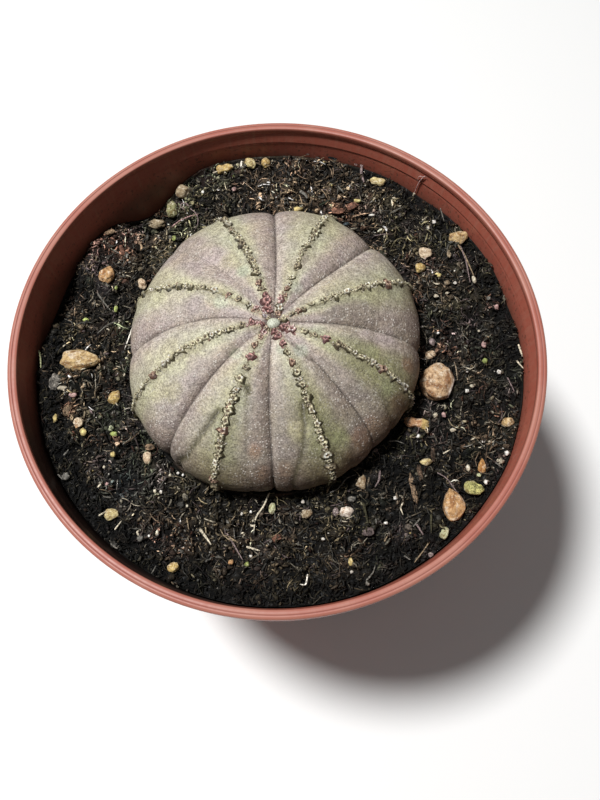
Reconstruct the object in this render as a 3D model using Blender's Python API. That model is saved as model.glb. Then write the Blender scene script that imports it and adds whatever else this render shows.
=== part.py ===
"""A baseball plant in a round plastic nursery pot, with potting soil and loose gravel.

Lengths are in metres and +Z is up. The origin is the centre of the pot's foot, on the surface that
the pot stands on. Azimuths are in degrees, from +X towards +Y.
"""

import math

import bmesh
import bpy
import numpy as np

# Room between pieces that rest on each other
GAP = 0.0003

# Pot
POT_HEIGHT = 0.0900
LIP_RADIUS = 0.0525
LIP_INNER_RADIUS = 0.0507
LIP_DEPTH = 0.0014
LIP_ROUND = 0.0004
BAND_HEIGHT = 0.0105
BAND_TOP_RADIUS = 0.0523
BAND_FOOT_RADIUS = 0.0519
BAND_INNER_FOOT_RADIUS = 0.0496
WALL_THICKNESS = 0.0012
UNDERCUT_DEPTH = 0.0002
INNER_STEP_DEPTH = 0.0042
INNER_STEP_WIDTH = 0.0001
FOOT_RADIUS = 0.0385
FOOT_WIDTH = 0.0024
FOOT_HEIGHT = 0.0030
FLOOR_THICKNESS = 0.0014
CORNER_ROUND = 0.0020
POT_SEGMENTS = 72
DRAIN_HOLES = 6
DRAIN_HOLE_RADIUS = 0.0028
DRAIN_HOLE_REACH = 0.0260
DRAIN_HOLE_SIDES = 12
FOOT_NOTCHES = 4
FOOT_NOTCH_WIDTH = 0.0070
FOOT_NOTCH_TOP_SHARE = 0.7
FOOT_NOTCH_HEIGHT = 0.0016
FOOT_NOTCH_AZIMUTH = 45.0

# Plant
PLANT_X = -0.0007
PLANT_Y = 0.0006
EQUATOR_Z = POT_HEIGHT - 0.0030
EQUATOR_RADIUS = 0.0290
DOME_HEIGHT = 0.0107
DOME_ROUNDNESS = 2.4
LOWER_DEPTH = 0.0220
NECK_RADIUS = 0.0080
ROOT_LENGTH = 0.0360
ROOT_TIP_RADIUS = 0.0012
ROOT_TAPER = 1.6
DOME_SAMPLES = 240
LOWER_SAMPLES = 120
ROOT_SAMPLES = 60
NORMAL_STEP = 0.0002
# Swells and dips of the plan: azimuth, angular reach and how far they stand out
PLAN_SWELLS = (
    (228, 28, 0.0012),
    (75, 35, 0.0007),
    (150, 16, -0.0010),
    (182, 20, -0.0005),
    (322, 30, -0.0007),
)
# Each rib's crest: its azimuth at the equator, then the lean in degrees per millimetre of radius and
# the bow in degrees per square millimetre, both counted from the equator
CRESTS = (
    (19.4, -0.106, -0.0045),
    (63.2, -0.261, -0.0093),
    (110.3, 0.273, 0.0),
    (159.5, 0.729, -0.0033),
    (204.4, 0.772, 0.0015),
    (246.6, 0.381, -0.0025),
    (288.2, -0.180, -0.0061),
    (331.2, -0.206, 0.0031),
)
# The furrow that follows each crest, in the same way
FURROWS = (
    (42.8, 0.25, 0.017),
    (87.3, 0.12, -0.002),
    (134.5, 0.50, 0.0),
    (183.3, 0.78, 0.0),
    (224.9, 0.33, -0.008),
    (266.9, 0.12, -0.0046),
    (308.8, -0.19, 0.0),
    (352.5, -0.30, 0.0),
)
RIDGE_HEIGHT = 0.0007
RIDGE_REACH = 0.0012
FLANK_SWELL = 0.0004
FURROW_DEPTH = 0.0007
FURROW_REACH = 0.0009
FURROW_SHARE = 0.22
CREST_HALF_WIDTH = 0.0007
CREST_SHARE = 0.5
RIDGE_FOOT_WIDTH = 0.0009
FULL_RELIEF_HALF_WIDTH = 0.004
TUBERCLE_PITCH = 0.0017
TUBERCLE_RADIUS = 0.00058
TUBERCLE_HEIGHT = 0.00055
TUBERCLE_TIP_HEIGHT = 0.00066
TUBERCLE_TOP_SHARE = 0.72
TUBERCLE_CELL_SHARE = 0.44
TUBERCLE_SIDES = 6
TUBERCLE_START = -120.0
FIRST_TUBERCLE = 0.0026
TUBERCLES_PER_RIB = 20
BUD_RADIUS = 0.0013
BUD_HEIGHT = 0.0013
BUD_RINGS = 4
BUD_TURN = 99.0
COARSE_COLUMNS = 24
BURIED_RINGS = 11

# Potting soil
SOIL_Z = POT_HEIGHT - 0.0078
SOIL_AT_PLANT_Z = POT_HEIGHT - 0.0082
SOIL_BLEND_SHARE = 0.15
SOIL_RISE = 0.0006
SOIL_SEED = 11
SOIL_LUMPS = 90
LUMP_HEIGHT = 0.0012
LUMP_REACH = (0.0030, 0.0065)
# The soil has shrunk from the left wall: a narrow drop along it, and a deeper bay towards the back
BRIM_REACH = 0.0484
BRIM_SLOPE = 0.0024
EDGE_DROP = 0.0025
EDGE_FROM = 140.0
EDGE_TO = 250.0
EDGE_FADE = 12.0
BAY_AZIMUTH = 123.5
BAY_SPREAD = 11.5
BAY_WIDTH = 0.0094
BAY_DROP = 0.0070
BAY_DROP_SPREAD = 10.0
SMALL_BAY_AZIMUTH = 160.0
SMALL_BAY_SPREAD = 8.0
SMALL_BAY_WIDTH = 0.0045
ROOT_HOLE_GAP = 0.00035
SOIL_ROWS = (0.06, 0.15, 0.25, 0.35, 0.46, 0.56, 0.66, 0.75, 0.83, 0.90, 0.95, 1.0)
SOIL_WALL_ROWS = (0.25, 0.55, 0.85)
SOIL_WALL_GAP = 0.00035
WALL_ROUNDS = 3

# Gravel: x, y, length, width, height, turn in degrees, and how much narrower the end that it is turned to is
STONES = (
    (0.0317, -0.0076, 0.0078, 0.0070, 0.0054, 80, 0.10),
    (-0.0403, 0.0021, 0.0076, 0.0046, 0.0034, -5, 0.25),
    (0.0316, -0.0326, 0.0064, 0.0044, 0.0032, 95, 0.50),
    (0.0270, -0.0160, 0.0058, 0.0027, 0.0024, -12, 0.15),
    (-0.0355, 0.0216, 0.0040, 0.0033, 0.0026, 80, 0.10),
    (0.0400, 0.0253, 0.0039, 0.0034, 0.0026, 20, 0.10),
    (0.0327, 0.0223, 0.0030, 0.0028, 0.0022, 0, 0.0),
    (0.0312, 0.0190, 0.0024, 0.0022, 0.0018, 40, 0.0),
    (0.0242, 0.0409, 0.0038, 0.0022, 0.0018, -15, 0.15),
    (-0.0098, 0.0464, 0.0040, 0.0023, 0.0020, 14, 0.25),
    (-0.0040, 0.0476, 0.0029, 0.0023, 0.0020, 150, 0.0),
    (-0.0004, 0.0479, 0.0025, 0.0022, 0.0019, 60, 0.0),
    (-0.0194, 0.0432, 0.0038, 0.0032, 0.0026, 5, 0.0),
    (-0.0223, 0.0404, 0.0045, 0.0026, 0.0022, 78, 0.20),
    (-0.0260, 0.0378, 0.0039, 0.0024, 0.0021, 0, 0.10),
    (-0.0280, 0.0191, 0.0026, 0.0019, 0.0017, 110, 0.35),
    (-0.0337, -0.0060, 0.0031, 0.0026, 0.0020, 60, 0.0),
    (-0.0404, -0.0114, 0.0024, 0.0021, 0.0016, 30, 0.0),
    (-0.0266, -0.0197, 0.0025, 0.0019, 0.0015, 80, 0.0),
    (-0.0334, -0.0303, 0.0027, 0.0022, 0.0018, 0, 0.20),
    (-0.0217, -0.0411, 0.0024, 0.0022, 0.0018, 0, 0.0),
    (0.0146, -0.0272, 0.0032, 0.0021, 0.0019, 70, 0.10),
    (0.0113, -0.0328, 0.0027, 0.0024, 0.0020, 0, 0.0),
    (0.0037, -0.0324, 0.0023, 0.0020, 0.0016, 10, 0.0),
    (0.0274, -0.0240, 0.0025, 0.0016, 0.0014, 5, 0.20),
    (0.0381, -0.0254, 0.0032, 0.0017, 0.0015, 82, 0.20),
    (0.0358, -0.0297, 0.0036, 0.0029, 0.0013, -25, 0.10),
    (0.0293, -0.0379, 0.0025, 0.0017, 0.0014, 65, 0.20),
    (0.0444, -0.0169, 0.0028, 0.0021, 0.0017, 0, 0.10),
    (0.0308, -0.0014, 0.0028, 0.0018, 0.0015, 10, 0.0),
    (-0.0029, -0.0308, 0.0023, 0.0015, 0.0012, 80, 0.0),
)
STONE_SINK = 0.35
STONE_LUMPS = 0.10
STONE_SEED = 100
STONE_DENT_GAP = 0.00042
LARGE_STONE_LENGTH = 0.004
LARGE_STONE_POINTS = 26
SMALL_STONE_POINTS = 18

# Materials: colour and roughness
TERRACOTTA = (0.42, 0.12, 0.07), 0.45
PLANT_SKIN = (0.33, 0.33, 0.22), 0.60
PEAT = (0.030, 0.022, 0.016), 0.95
PUMICE = (0.55, 0.40, 0.22), 0.85


def clear_scene():
    for old in list(bpy.data.objects):
        bpy.data.objects.remove(old, do_unlink=True)


def make_material(name, look):
    colour, roughness = look
    material = bpy.data.materials.new(name)
    material.use_nodes = True
    shader = material.node_tree.nodes["Principled BSDF"]
    shader.inputs["Base Color"].default_value = (*colour, 1.0)
    shader.inputs["Roughness"].default_value = roughness
    return material


def add_object(name, bm, material, sharp_angle=40.0):
    """Turns a bmesh into an object of the scene, smooth except along edges sharper than the angle."""
    mesh = bpy.data.meshes.new(name)
    bm.to_mesh(mesh)
    bm.free()
    mesh.shade_smooth()
    mesh.set_sharp_from_angle(angle=math.radians(sharp_angle))
    if material is not None:
        mesh.materials.append(material)
    piece = bpy.data.objects.new(name, mesh)
    bpy.context.scene.collection.objects.link(piece)
    return piece


def hide_as_cutter(cutter):
    cutter.hide_render = True
    cutter.display_type = "WIRE"


def cut_with(piece, cutter):
    cut = piece.modifiers.new("cut", "BOOLEAN")
    cut.operation = "DIFFERENCE"
    cut.solver = "EXACT"
    cut.object = cutter


def add_ring(bm, points):
    return [bm.verts.new(point) for point in points]


def zip_rings(bm, first, second):
    """Joins two closed rings of vertices with faces. A ring of one vertex is a pole, and counts may differ."""
    if len(first) == len(second):
        for i in range(len(first)):
            after = (i + 1) % len(first)
            bm.faces.new((first[i], first[after], second[after], second[i]))
        return
    i = j = 0
    many, few = len(first), len(second)
    steps_first = 0 if many == 1 else many
    steps_second = 0 if few == 1 else few
    while i < steps_first or j < steps_second:
        first_is_next = j == steps_second or (i < steps_first and (i + 1) * few <= (j + 1) * many)
        if first_is_next:
            bm.faces.new((first[i], first[(i + 1) % many], second[j % few]))
            i += 1
        else:
            bm.faces.new((first[i % many], second[(j + 1) % few], second[j]))
            j += 1


def loft(bm, rings):
    for first, second in zip(rings, rings[1:]):
        zip_rings(bm, first, second)
    bmesh.ops.recalc_face_normals(bm, faces=bm.faces)


# The pot


def pot_outside():
    """Outline from the middle of the underside, under the foot ring and up to the lip: radius and height."""
    band_z = POT_HEIGHT - BAND_HEIGHT
    wall_radius = BAND_INNER_FOOT_RADIUS + WALL_THICKNESS
    lip_z = POT_HEIGHT - LIP_DEPTH
    return [
        (0.0, FOOT_HEIGHT),
        (FOOT_RADIUS - FOOT_WIDTH, FOOT_HEIGHT),
        (FOOT_RADIUS - FOOT_WIDTH, 0.0),
        (FOOT_RADIUS - LIP_ROUND, 0.0),
        (FOOT_RADIUS, LIP_ROUND),
        (wall_radius, band_z),
        (BAND_FOOT_RADIUS, band_z),
        (BAND_TOP_RADIUS, lip_z),
        (LIP_RADIUS, lip_z + LIP_ROUND / 2),
        (LIP_RADIUS, POT_HEIGHT - LIP_ROUND),
        (LIP_RADIUS - LIP_ROUND, POT_HEIGHT),
    ]


def pot_inside():
    """Outline from the lip down the inside to the middle of the floor: radius and height."""
    floor_z = FOOT_HEIGHT + FLOOR_THICKNESS
    floor_radius = FOOT_RADIUS - WALL_THICKNESS
    lip_z = POT_HEIGHT - LIP_DEPTH
    step_z = POT_HEIGHT - INNER_STEP_DEPTH
    slope = (LIP_INNER_RADIUS - BAND_INNER_FOOT_RADIUS) / BAND_HEIGHT
    step_radius = LIP_INNER_RADIUS - slope * INNER_STEP_DEPTH
    return [
        (LIP_INNER_RADIUS + LIP_ROUND, POT_HEIGHT),
        (LIP_INNER_RADIUS, POT_HEIGHT - LIP_ROUND),
        (LIP_INNER_RADIUS, lip_z),
        (LIP_INNER_RADIUS + UNDERCUT_DEPTH, lip_z - UNDERCUT_DEPTH),
        (step_radius + INNER_STEP_WIDTH, step_z + INNER_STEP_WIDTH),
        (step_radius, step_z),
        (BAND_INNER_FOOT_RADIUS, POT_HEIGHT - BAND_HEIGHT),
        (floor_radius, floor_z + CORNER_ROUND),
        (floor_radius - CORNER_ROUND, floor_z),
        (0.0, floor_z),
    ]


def inner_radius(z):
    """Radius of the pot's inside at a height."""
    outline = pot_inside()[::-1]
    return np.interp(z, [point[1] for point in outline[1:]], [point[0] for point in outline[1:]])


def circle(radius, z, segments, turn=0.0, centre=(0.0, 0.0)):
    if radius == 0.0:
        return [(centre[0], centre[1], z)]
    angles = turn + 2 * math.pi * np.arange(segments) / segments
    return [(centre[0] + radius * math.cos(a), centre[1] + radius * math.sin(a), z) for a in angles]


def add_hole_cutter(bm, centre):
    """Adds an upright round bar that goes right through the floor."""
    low = FOOT_HEIGHT - FLOOR_THICKNESS
    high = FOOT_HEIGHT + 2 * FLOOR_THICKNESS
    rings = []
    for radius, z in ((0.0, low), (DRAIN_HOLE_RADIUS, low), (DRAIN_HOLE_RADIUS, high), (0.0, high)):
        rings.append(add_ring(bm, circle(radius, z, DRAIN_HOLE_SIDES, centre=centre)))
    loft(bm, rings)


def add_notch_cutter(bm, angle):
    """Adds a bar across the foot ring, narrower at its top than where the pot stands."""
    along = np.array([math.cos(angle), math.sin(angle), 0.0])
    across = np.array([-math.sin(angle), math.cos(angle), 0.0])
    up = np.array([0.0, 0.0, FOOT_NOTCH_HEIGHT])
    wide = across * FOOT_NOTCH_WIDTH / 2
    narrow = wide * FOOT_NOTCH_TOP_SHARE
    middle = along * (FOOT_RADIUS - FOOT_WIDTH / 2)
    rings = []
    for side in (-1, 1):
        edge = middle + along * side * FOOT_WIDTH
        corners = (edge - wide - up, edge + wide - up, edge + narrow + up, edge - narrow + up)
        rings.append(add_ring(bm, corners))
    zip_rings(bm, rings[0], rings[1])
    bm.faces.new(rings[0])
    bm.faces.new(rings[1])


def drain_cutter():
    """The round holes of the floor and the notches under the foot ring, as one cutter."""
    bm = bmesh.new()
    add_hole_cutter(bm, (0.0, 0.0))
    for index in range(DRAIN_HOLES):
        angle = 2 * math.pi * index / DRAIN_HOLES
        add_hole_cutter(bm, (DRAIN_HOLE_REACH * math.cos(angle), DRAIN_HOLE_REACH * math.sin(angle)))
    for index in range(FOOT_NOTCHES):
        add_notch_cutter(bm, math.radians(FOOT_NOTCH_AZIMUTH) + 2 * math.pi * index / FOOT_NOTCHES)
    bmesh.ops.recalc_face_normals(bm, faces=bm.faces)
    cutter = add_object("drain_cutter", bm, None)
    hide_as_cutter(cutter)
    return cutter


def make_pot():
    bm = bmesh.new()
    outline = pot_outside() + pot_inside()
    loft(bm, [add_ring(bm, circle(radius, z, POT_SEGMENTS)) for radius, z in outline])
    pot = add_object("pot", bm, make_material("terracotta_plastic", TERRACOTTA))
    cut_with(pot, drain_cutter())


# The plant


def body_outline():
    """Half outline from the top of the dome to the root's tip, with its length along the line."""
    turn = np.linspace(0.0, math.pi / 2, DOME_SAMPLES)
    power = 2 / DOME_ROUNDNESS
    dome_r = EQUATOR_RADIUS * np.sin(turn) ** power
    dome_z = EQUATOR_Z + DOME_HEIGHT * np.abs(np.cos(turn)) ** power
    dome_z[-1] = EQUATOR_Z
    last = math.acos(NECK_RADIUS / EQUATOR_RADIUS)
    down = np.linspace(0.0, last, LOWER_SAMPLES)[1:]
    lower_r = EQUATOR_RADIUS * np.cos(down)
    lower_z = EQUATOR_Z - LOWER_DEPTH * np.sin(down)
    share = np.linspace(0.0, 1.0, ROOT_SAMPLES)[1:]
    root_r = ROOT_TIP_RADIUS + (NECK_RADIUS - ROOT_TIP_RADIUS) * (1 - share) ** ROOT_TAPER
    root_z = lower_z[-1] - ROOT_LENGTH * share
    radius = np.concatenate((dome_r, lower_r, root_r))
    height = np.concatenate((dome_z, lower_z, root_z))
    length = np.concatenate(([0.0], np.cumsum(np.hypot(np.diff(radius), np.diff(height)))))
    return radius, height, length


def plan_swell(azimuth):
    """How far the plan stands out from a circle at an azimuth in radians."""
    out = 0.0
    for middle, reach, height in PLAN_SWELLS:
        away = (math.degrees(azimuth) - middle + 180) % 360 - 180
        out += height * math.exp(-((away / reach) ** 2))
    return out


def line_azimuth(line, radius):
    """Azimuth in radians of a crest or furrow where the body has a radius."""
    azimuth, lean, bow = line
    inward = (radius - EQUATOR_RADIUS) * 1000
    return math.radians(azimuth + lean * inward + bow * inward**2)


def rib_columns(radius):
    """Columns round the body at a radius: azimuth, distance from the crest, and the rib's half width there."""
    columns = []
    for index, crest in enumerate(CRESTS):
        middle = line_azimuth(crest, radius)
        for side in (-1, 1):
            edge = line_azimuth(FURROWS[index if side == 1 else index - 1], radius)
            opening = (side * (edge - middle)) % (2 * math.pi)
            half = opening * radius
            shoulder = half - min(FURROW_REACH, FURROW_SHARE * half)
            crest_edge = min(CREST_HALF_WIDTH, CREST_SHARE * half)
            foot = crest_edge + min(RIDGE_FOOT_WIDTH, (shoulder - crest_edge) / 3)
            ways = [crest_edge, foot, (foot + shoulder) / 2, shoulder, half]
            places = [(middle + side * way / radius, way, half) for way in ways]
            columns += places[::-1] if side == -1 else places[:-1]
    return columns


def rib_relief(way, half):
    """Height over the body's outline at a distance from the crest: a ridge, a swollen flank, a furrow."""
    full = min(1.0, half / FULL_RELIEF_HALF_WIDTH)
    ridge = RIDGE_HEIGHT * math.exp(-((way / RIDGE_REACH) ** 2))
    flank = FLANK_SWELL * math.sin(math.pi * way / half)
    furrow = FURROW_DEPTH * max(0.0, 1 - (half - way) / FURROW_REACH)
    return full * (ridge + flank - furrow)


def body_ring(length, fine=True, clearance=0.0):
    """The points of one ring round the body, at a length along its outline from the top."""
    radii, heights, lengths = body_outline()
    around = (length, length - NORMAL_STEP, length + NORMAL_STEP)
    radius, before, after = np.interp(around, lengths, radii)
    z, z_before, z_after = np.interp(around, lengths, heights)
    normal = np.array([z_before - z_after, after - before])
    normal /= np.linalg.norm(normal)
    columns = rib_columns(radius)
    if not fine:
        columns = columns[:: len(columns) // COARSE_COLUMNS]
    buried = max(0.0, EQUATOR_Z - z) / LOWER_DEPTH
    relief_share = max(0.0, 1 - buried)
    points = []
    for azimuth, way, half in columns:
        rise = clearance + relief_share * rib_relief(way, half)
        reach = radius * (1 + plan_swell(azimuth) / EQUATOR_RADIUS) + normal[0] * rise
        height = z + normal[1] * rise
        points.append((PLANT_X + reach * math.cos(azimuth), PLANT_Y + reach * math.sin(azimuth), height))
    return points


def add_tubercle(bm, corners):
    """Raises a small blunt knob from a four-cornered cell of the crest."""
    places = [np.array(corner.co) for corner in corners]
    middle = sum(places) / 4
    across = (places[1] + places[2] - places[0] - places[3]) / 2
    along = (places[2] + places[3] - places[0] - places[1]) / 2
    up = np.cross(across, along)
    up /= np.linalg.norm(up)
    outward = middle - np.array([PLANT_X, PLANT_Y, EQUATOR_Z - LOWER_DEPTH])
    if np.dot(up, outward) < 0:
        up = -up
    room = TUBERCLE_CELL_SHARE * min(np.linalg.norm(across), np.linalg.norm(along))
    radius = min(TUBERCLE_RADIUS, room)
    scale = radius / TUBERCLE_RADIUS
    side = across / np.linalg.norm(across)
    ahead = along / np.linalg.norm(along)
    rings = [corners]
    for share, rise in ((1.0, 0.0), (TUBERCLE_TOP_SHARE, TUBERCLE_HEIGHT)):
        ring = []
        for index in range(TUBERCLE_SIDES):
            angle = math.radians(TUBERCLE_START) + 2 * math.pi * index / TUBERCLE_SIDES
            flat = side * math.cos(angle) + ahead * math.sin(angle)
            ring.append(middle + flat * radius * share + up * rise * scale)
        rings.append(add_ring(bm, ring))
    rings.append(add_ring(bm, [middle + up * TUBERCLE_TIP_HEIGHT * scale]))
    for first, second in zip(rings, rings[1:]):
        zip_rings(bm, first, second)


def soil_line_length():
    """Length along the plant's outline at which it meets the soil."""
    _, heights, lengths = body_outline()
    return float(np.interp(-SOIL_AT_PLANT_Z, -heights, lengths))


def buried_lengths():
    """Lengths along the outline of the rings under the soil, down to the root's tip."""
    _, _, lengths = body_outline()
    start = soil_line_length()
    shares = np.arange(1, BURIED_RINGS + 1) / BURIED_RINGS
    return [start + (lengths[-1] - start) * share for share in shares]


def bud_rings():
    """The round bud at the top, from its tip out to its foot."""
    rings = []
    for index in range(BUD_RINGS):
        turn = math.radians(BUD_TURN) * index / (BUD_RINGS - 1)
        radius = BUD_RADIUS * math.sin(turn)
        z = EQUATOR_Z + DOME_HEIGHT + BUD_HEIGHT * math.cos(turn)
        rings.append(circle(radius, z, COARSE_COLUMNS, centre=(PLANT_X, PLANT_Y)))
    return rings


def make_plant():
    bm = bmesh.new()
    bud = [add_ring(bm, ring) for ring in bud_rings()]
    for first, second in zip(bud, bud[1:]):
        zip_rings(bm, first, second)
    lengths = [FIRST_TUBERCLE + TUBERCLE_PITCH * index for index in range(TUBERCLES_PER_RIB + 1)]
    lengths.append(soil_line_length())
    rings = [add_ring(bm, body_ring(length)) for length in lengths]
    zip_rings(bm, bud[-1], rings[0])
    per_rib = len(rings[0]) // len(CRESTS)
    for row, (first, second) in enumerate(zip(rings, rings[1:])):
        for index in range(len(first)):
            after = (index + 1) % len(first)
            cell = (first[index], first[after], second[after], second[index])
            on_crest = index % per_rib == per_rib // 2
            if on_crest and row < TUBERCLES_PER_RIB:
                add_tubercle(bm, list(cell))
            else:
                bm.faces.new(cell)
    buried = [add_ring(bm, body_ring(length, fine=False)) for length in buried_lengths()]
    _, heights, _ = body_outline()
    tip = add_ring(bm, [(PLANT_X, PLANT_Y, heights[-1] - ROOT_TIP_RADIUS)])
    loft(bm, [rings[-1]] + buried + [tip])
    add_object("baseball_plant", bm, make_material("plant_skin", PLANT_SKIN), sharp_angle=50.0)


# The potting soil


def smooth_step(value):
    value = np.clip(value, 0.0, 1.0)
    return value * value * (3 - 2 * value)


def soil_height(x, y):
    """Height of the soil's surface: a level with seeded lumps, less the drop and the bay along the wall."""
    reach = np.hypot(x, y)
    azimuth = np.degrees(np.arctan2(y, x)) % 360
    draw = np.random.default_rng(SOIL_SEED)
    z = SOIL_Z + SOIL_RISE * x / LIP_RADIUS
    for _ in range(SOIL_LUMPS):
        lump_reach = LIP_RADIUS * math.sqrt(draw.random())
        lump_azimuth = 2 * math.pi * draw.random()
        size = draw.uniform(*LUMP_REACH)
        height = draw.uniform(-LUMP_HEIGHT, LUMP_HEIGHT)
        away = np.hypot(x - lump_reach * math.cos(lump_azimuth), y - lump_reach * math.sin(lump_azimuth))
        z = z + height * np.exp(-((away / size) ** 2))
    bay = np.exp(-(((azimuth - BAY_AZIMUTH) / BAY_SPREAD) ** 4))
    small_bay = np.exp(-(((azimuth - SMALL_BAY_AZIMUTH) / SMALL_BAY_SPREAD) ** 2))
    brim = BRIM_REACH - BAY_WIDTH * bay - SMALL_BAY_WIDTH * small_bay
    start = smooth_step((azimuth - EDGE_FROM) / EDGE_FADE + 0.5)
    end = smooth_step((EDGE_TO - azimuth) / EDGE_FADE + 0.5)
    bay_drop = BAY_DROP * np.exp(-(((azimuth - BAY_AZIMUTH) / BAY_DROP_SPREAD) ** 2))
    return z - (EDGE_DROP * start * end + bay_drop) * smooth_step((reach - brim) / BRIM_SLOPE)


def soil_top_rings(inner):
    """Rings of the soil's surface from the plant out to the pot's wall, ruled between the two outlines."""
    count = len(inner)
    outer_angles = 2 * math.pi * np.arange(count) / count + math.radians(FURROWS[-1][0])
    inner_xy = np.array(inner)[:, :2]
    # The wall tapers, so its radius and the soil's height beside it are worked out in turn
    wall = np.full(count, inner_radius(SOIL_Z))
    for _ in range(WALL_ROUNDS):
        outer = np.stack((np.cos(outer_angles), np.sin(outer_angles)), axis=1)
        outer *= (wall - SOIL_WALL_GAP)[:, None]
        wall = inner_radius(soil_height(outer[:, 0], outer[:, 1]))
    rings = []
    for share in SOIL_ROWS:
        x, y = (inner_xy * (1 - share) + outer * share).T
        blend = min(1.0, share / SOIL_BLEND_SHARE)
        z = SOIL_AT_PLANT_Z * (1 - blend) + soil_height(x, y) * blend
        rings.append(list(zip(x, y, z)))
    return rings


def soil_wall_rings(top):
    """Rings down the pot's wall and across its floor, each at a share of the way down."""
    floor_z = FOOT_HEIGHT + FLOOR_THICKNESS + GAP
    edge_z = floor_z + CORNER_ROUND
    rings = []
    for share in (*SOIL_WALL_ROWS, 1.0):
        ring = []
        for x, y, z in top[::2]:
            azimuth = math.atan2(y, x)
            height = z + (edge_z - z) * share
            radius = inner_radius(height) - SOIL_WALL_GAP
            ring.append((radius * math.cos(azimuth), radius * math.sin(azimuth), height))
        rings.append(ring)
    flat = FOOT_RADIUS - WALL_THICKNESS - CORNER_ROUND - SOIL_WALL_GAP
    turn = math.atan2(top[0][1], top[0][0])
    rings.append(circle(flat, floor_z, len(top) // 2, turn=turn))
    rings.append(circle(0.0, floor_z, 1))
    return rings


def make_soil(dent_cutter):
    _, heights, _ = body_outline()
    tip_z = heights[-1] - ROOT_TIP_RADIUS - 2 * ROOT_HOLE_GAP
    points = [[(PLANT_X, PLANT_Y, tip_z)]]
    for length in buried_lengths()[::-1]:
        points.append(body_ring(length, fine=False, clearance=ROOT_HOLE_GAP))
    edge = body_ring(soil_line_length(), clearance=ROOT_HOLE_GAP)
    points.append(edge)
    top = soil_top_rings(edge)
    points += top
    points += soil_wall_rings(top[-1])
    bm = bmesh.new()
    loft(bm, [add_ring(bm, ring) for ring in points])
    soil = add_object("potting_soil", bm, make_material("peat", PEAT), sharp_angle=60.0)
    cut_with(soil, dent_cutter)


# The gravel


def stone_points(index, grow=0.0):
    """Corner points of a lumpy stone: evenly spread directions, pushed in and out by a seeded draw."""
    x, y, length, width, height, turn, taper = STONES[index]
    draw = np.random.default_rng(STONE_SEED + index)
    count = LARGE_STONE_POINTS if length > LARGE_STONE_LENGTH else SMALL_STONE_POINTS
    order = np.arange(count) + 0.5
    polar = np.arccos(1 - 2 * order / count)
    around = math.pi * (1 + math.sqrt(5)) * order
    push = 1 + draw.uniform(-STONE_LUMPS, STONE_LUMPS, count)
    along = np.sin(polar) * np.cos(around) * push
    across = np.sin(polar) * np.sin(around) * push * (1 - taper * along)
    up = np.cos(polar) * push
    along = along * (length / 2 + grow)
    across = across * (width / 2 + grow)
    z = float(soil_height(x, y)) + height * (0.5 - STONE_SINK) + up * (height / 2 + grow)
    c, s = math.cos(math.radians(turn)), math.sin(math.radians(turn))
    return np.stack((x + c * along - s * across, y + s * along + c * across, z), axis=1)


def add_stone(bm, points):
    verts = add_ring(bm, points)
    hull = bmesh.ops.convex_hull(bm, input=verts)
    unused = [item for item in hull["geom_interior"] if isinstance(item, bmesh.types.BMVert)]
    bmesh.ops.delete(bm, geom=unused, context="VERTS")
    bmesh.ops.recalc_face_normals(bm, faces=bm.faces)


def make_gravel():
    """Makes the stones and returns the cutter of the dents that they lie in."""
    pumice = make_material("pumice", PUMICE)
    dents = bmesh.new()
    for index in range(len(STONES)):
        bm = bmesh.new()
        add_stone(bm, stone_points(index))
        add_object(f"gravel_{index + 1:02d}", bm, pumice, sharp_angle=30.0)
        add_stone(dents, stone_points(index, grow=STONE_DENT_GAP))
    cutter = add_object("dent_cutter", dents, None)
    hide_as_cutter(cutter)
    return cutter


def main():
    clear_scene()
    make_pot()
    make_plant()
    make_soil(make_gravel())


main()
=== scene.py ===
import itertools
import math

import bpy
import numpy as np
from mathutils import Matrix


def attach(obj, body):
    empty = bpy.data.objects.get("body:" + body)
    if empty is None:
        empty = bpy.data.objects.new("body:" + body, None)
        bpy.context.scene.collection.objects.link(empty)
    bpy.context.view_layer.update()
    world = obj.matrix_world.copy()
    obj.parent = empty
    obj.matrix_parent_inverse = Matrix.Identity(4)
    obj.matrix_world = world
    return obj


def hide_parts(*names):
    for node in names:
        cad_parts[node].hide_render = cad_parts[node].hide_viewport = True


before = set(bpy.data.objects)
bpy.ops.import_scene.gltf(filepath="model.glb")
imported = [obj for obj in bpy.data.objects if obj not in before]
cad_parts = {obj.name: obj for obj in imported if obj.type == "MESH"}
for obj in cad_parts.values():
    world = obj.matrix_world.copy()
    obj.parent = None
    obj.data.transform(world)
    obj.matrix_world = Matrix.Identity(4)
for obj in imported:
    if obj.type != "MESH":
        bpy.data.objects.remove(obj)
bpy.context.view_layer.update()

body = "root"

# The camera of the photograph, found from the ellipse of the pot's rim
photoCamera = {
    "imageWidth": 600,
    "imageHeight": 800,
    "place": (0.0, -0.0645, 0.2328),
    "turn": 3.93,          # degrees to the right of +Y
    "lookDown": 69.86,     # degrees below the horizon
    "roll": 0.42,
    "lens": 36.0,
    "film": 36.0,
}
# Width of a pixel of the photograph, in metres, on the plant and on the soil
pixelOnPlant = 0.000185
pixelOnSoil = 0.000183


# Directions of the camera: ahead, to its right and up, from its turn, tilt and roll
def cameraAxes():
    turn, down, roll = (math.radians(photoCamera[key]) for key in ("turn", "lookDown", "roll"))
    ahead = np.array([math.sin(turn) * math.cos(down), math.cos(turn) * math.cos(down), -math.sin(down)])
    right = np.cross(ahead, [0.0, 0.0, 1.0])
    right /= np.linalg.norm(right)
    up = np.cross(right, ahead)
    tilted = math.cos(roll) * right + math.sin(roll) * up
    return ahead, tilted, np.cross(tilted, ahead)


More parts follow.
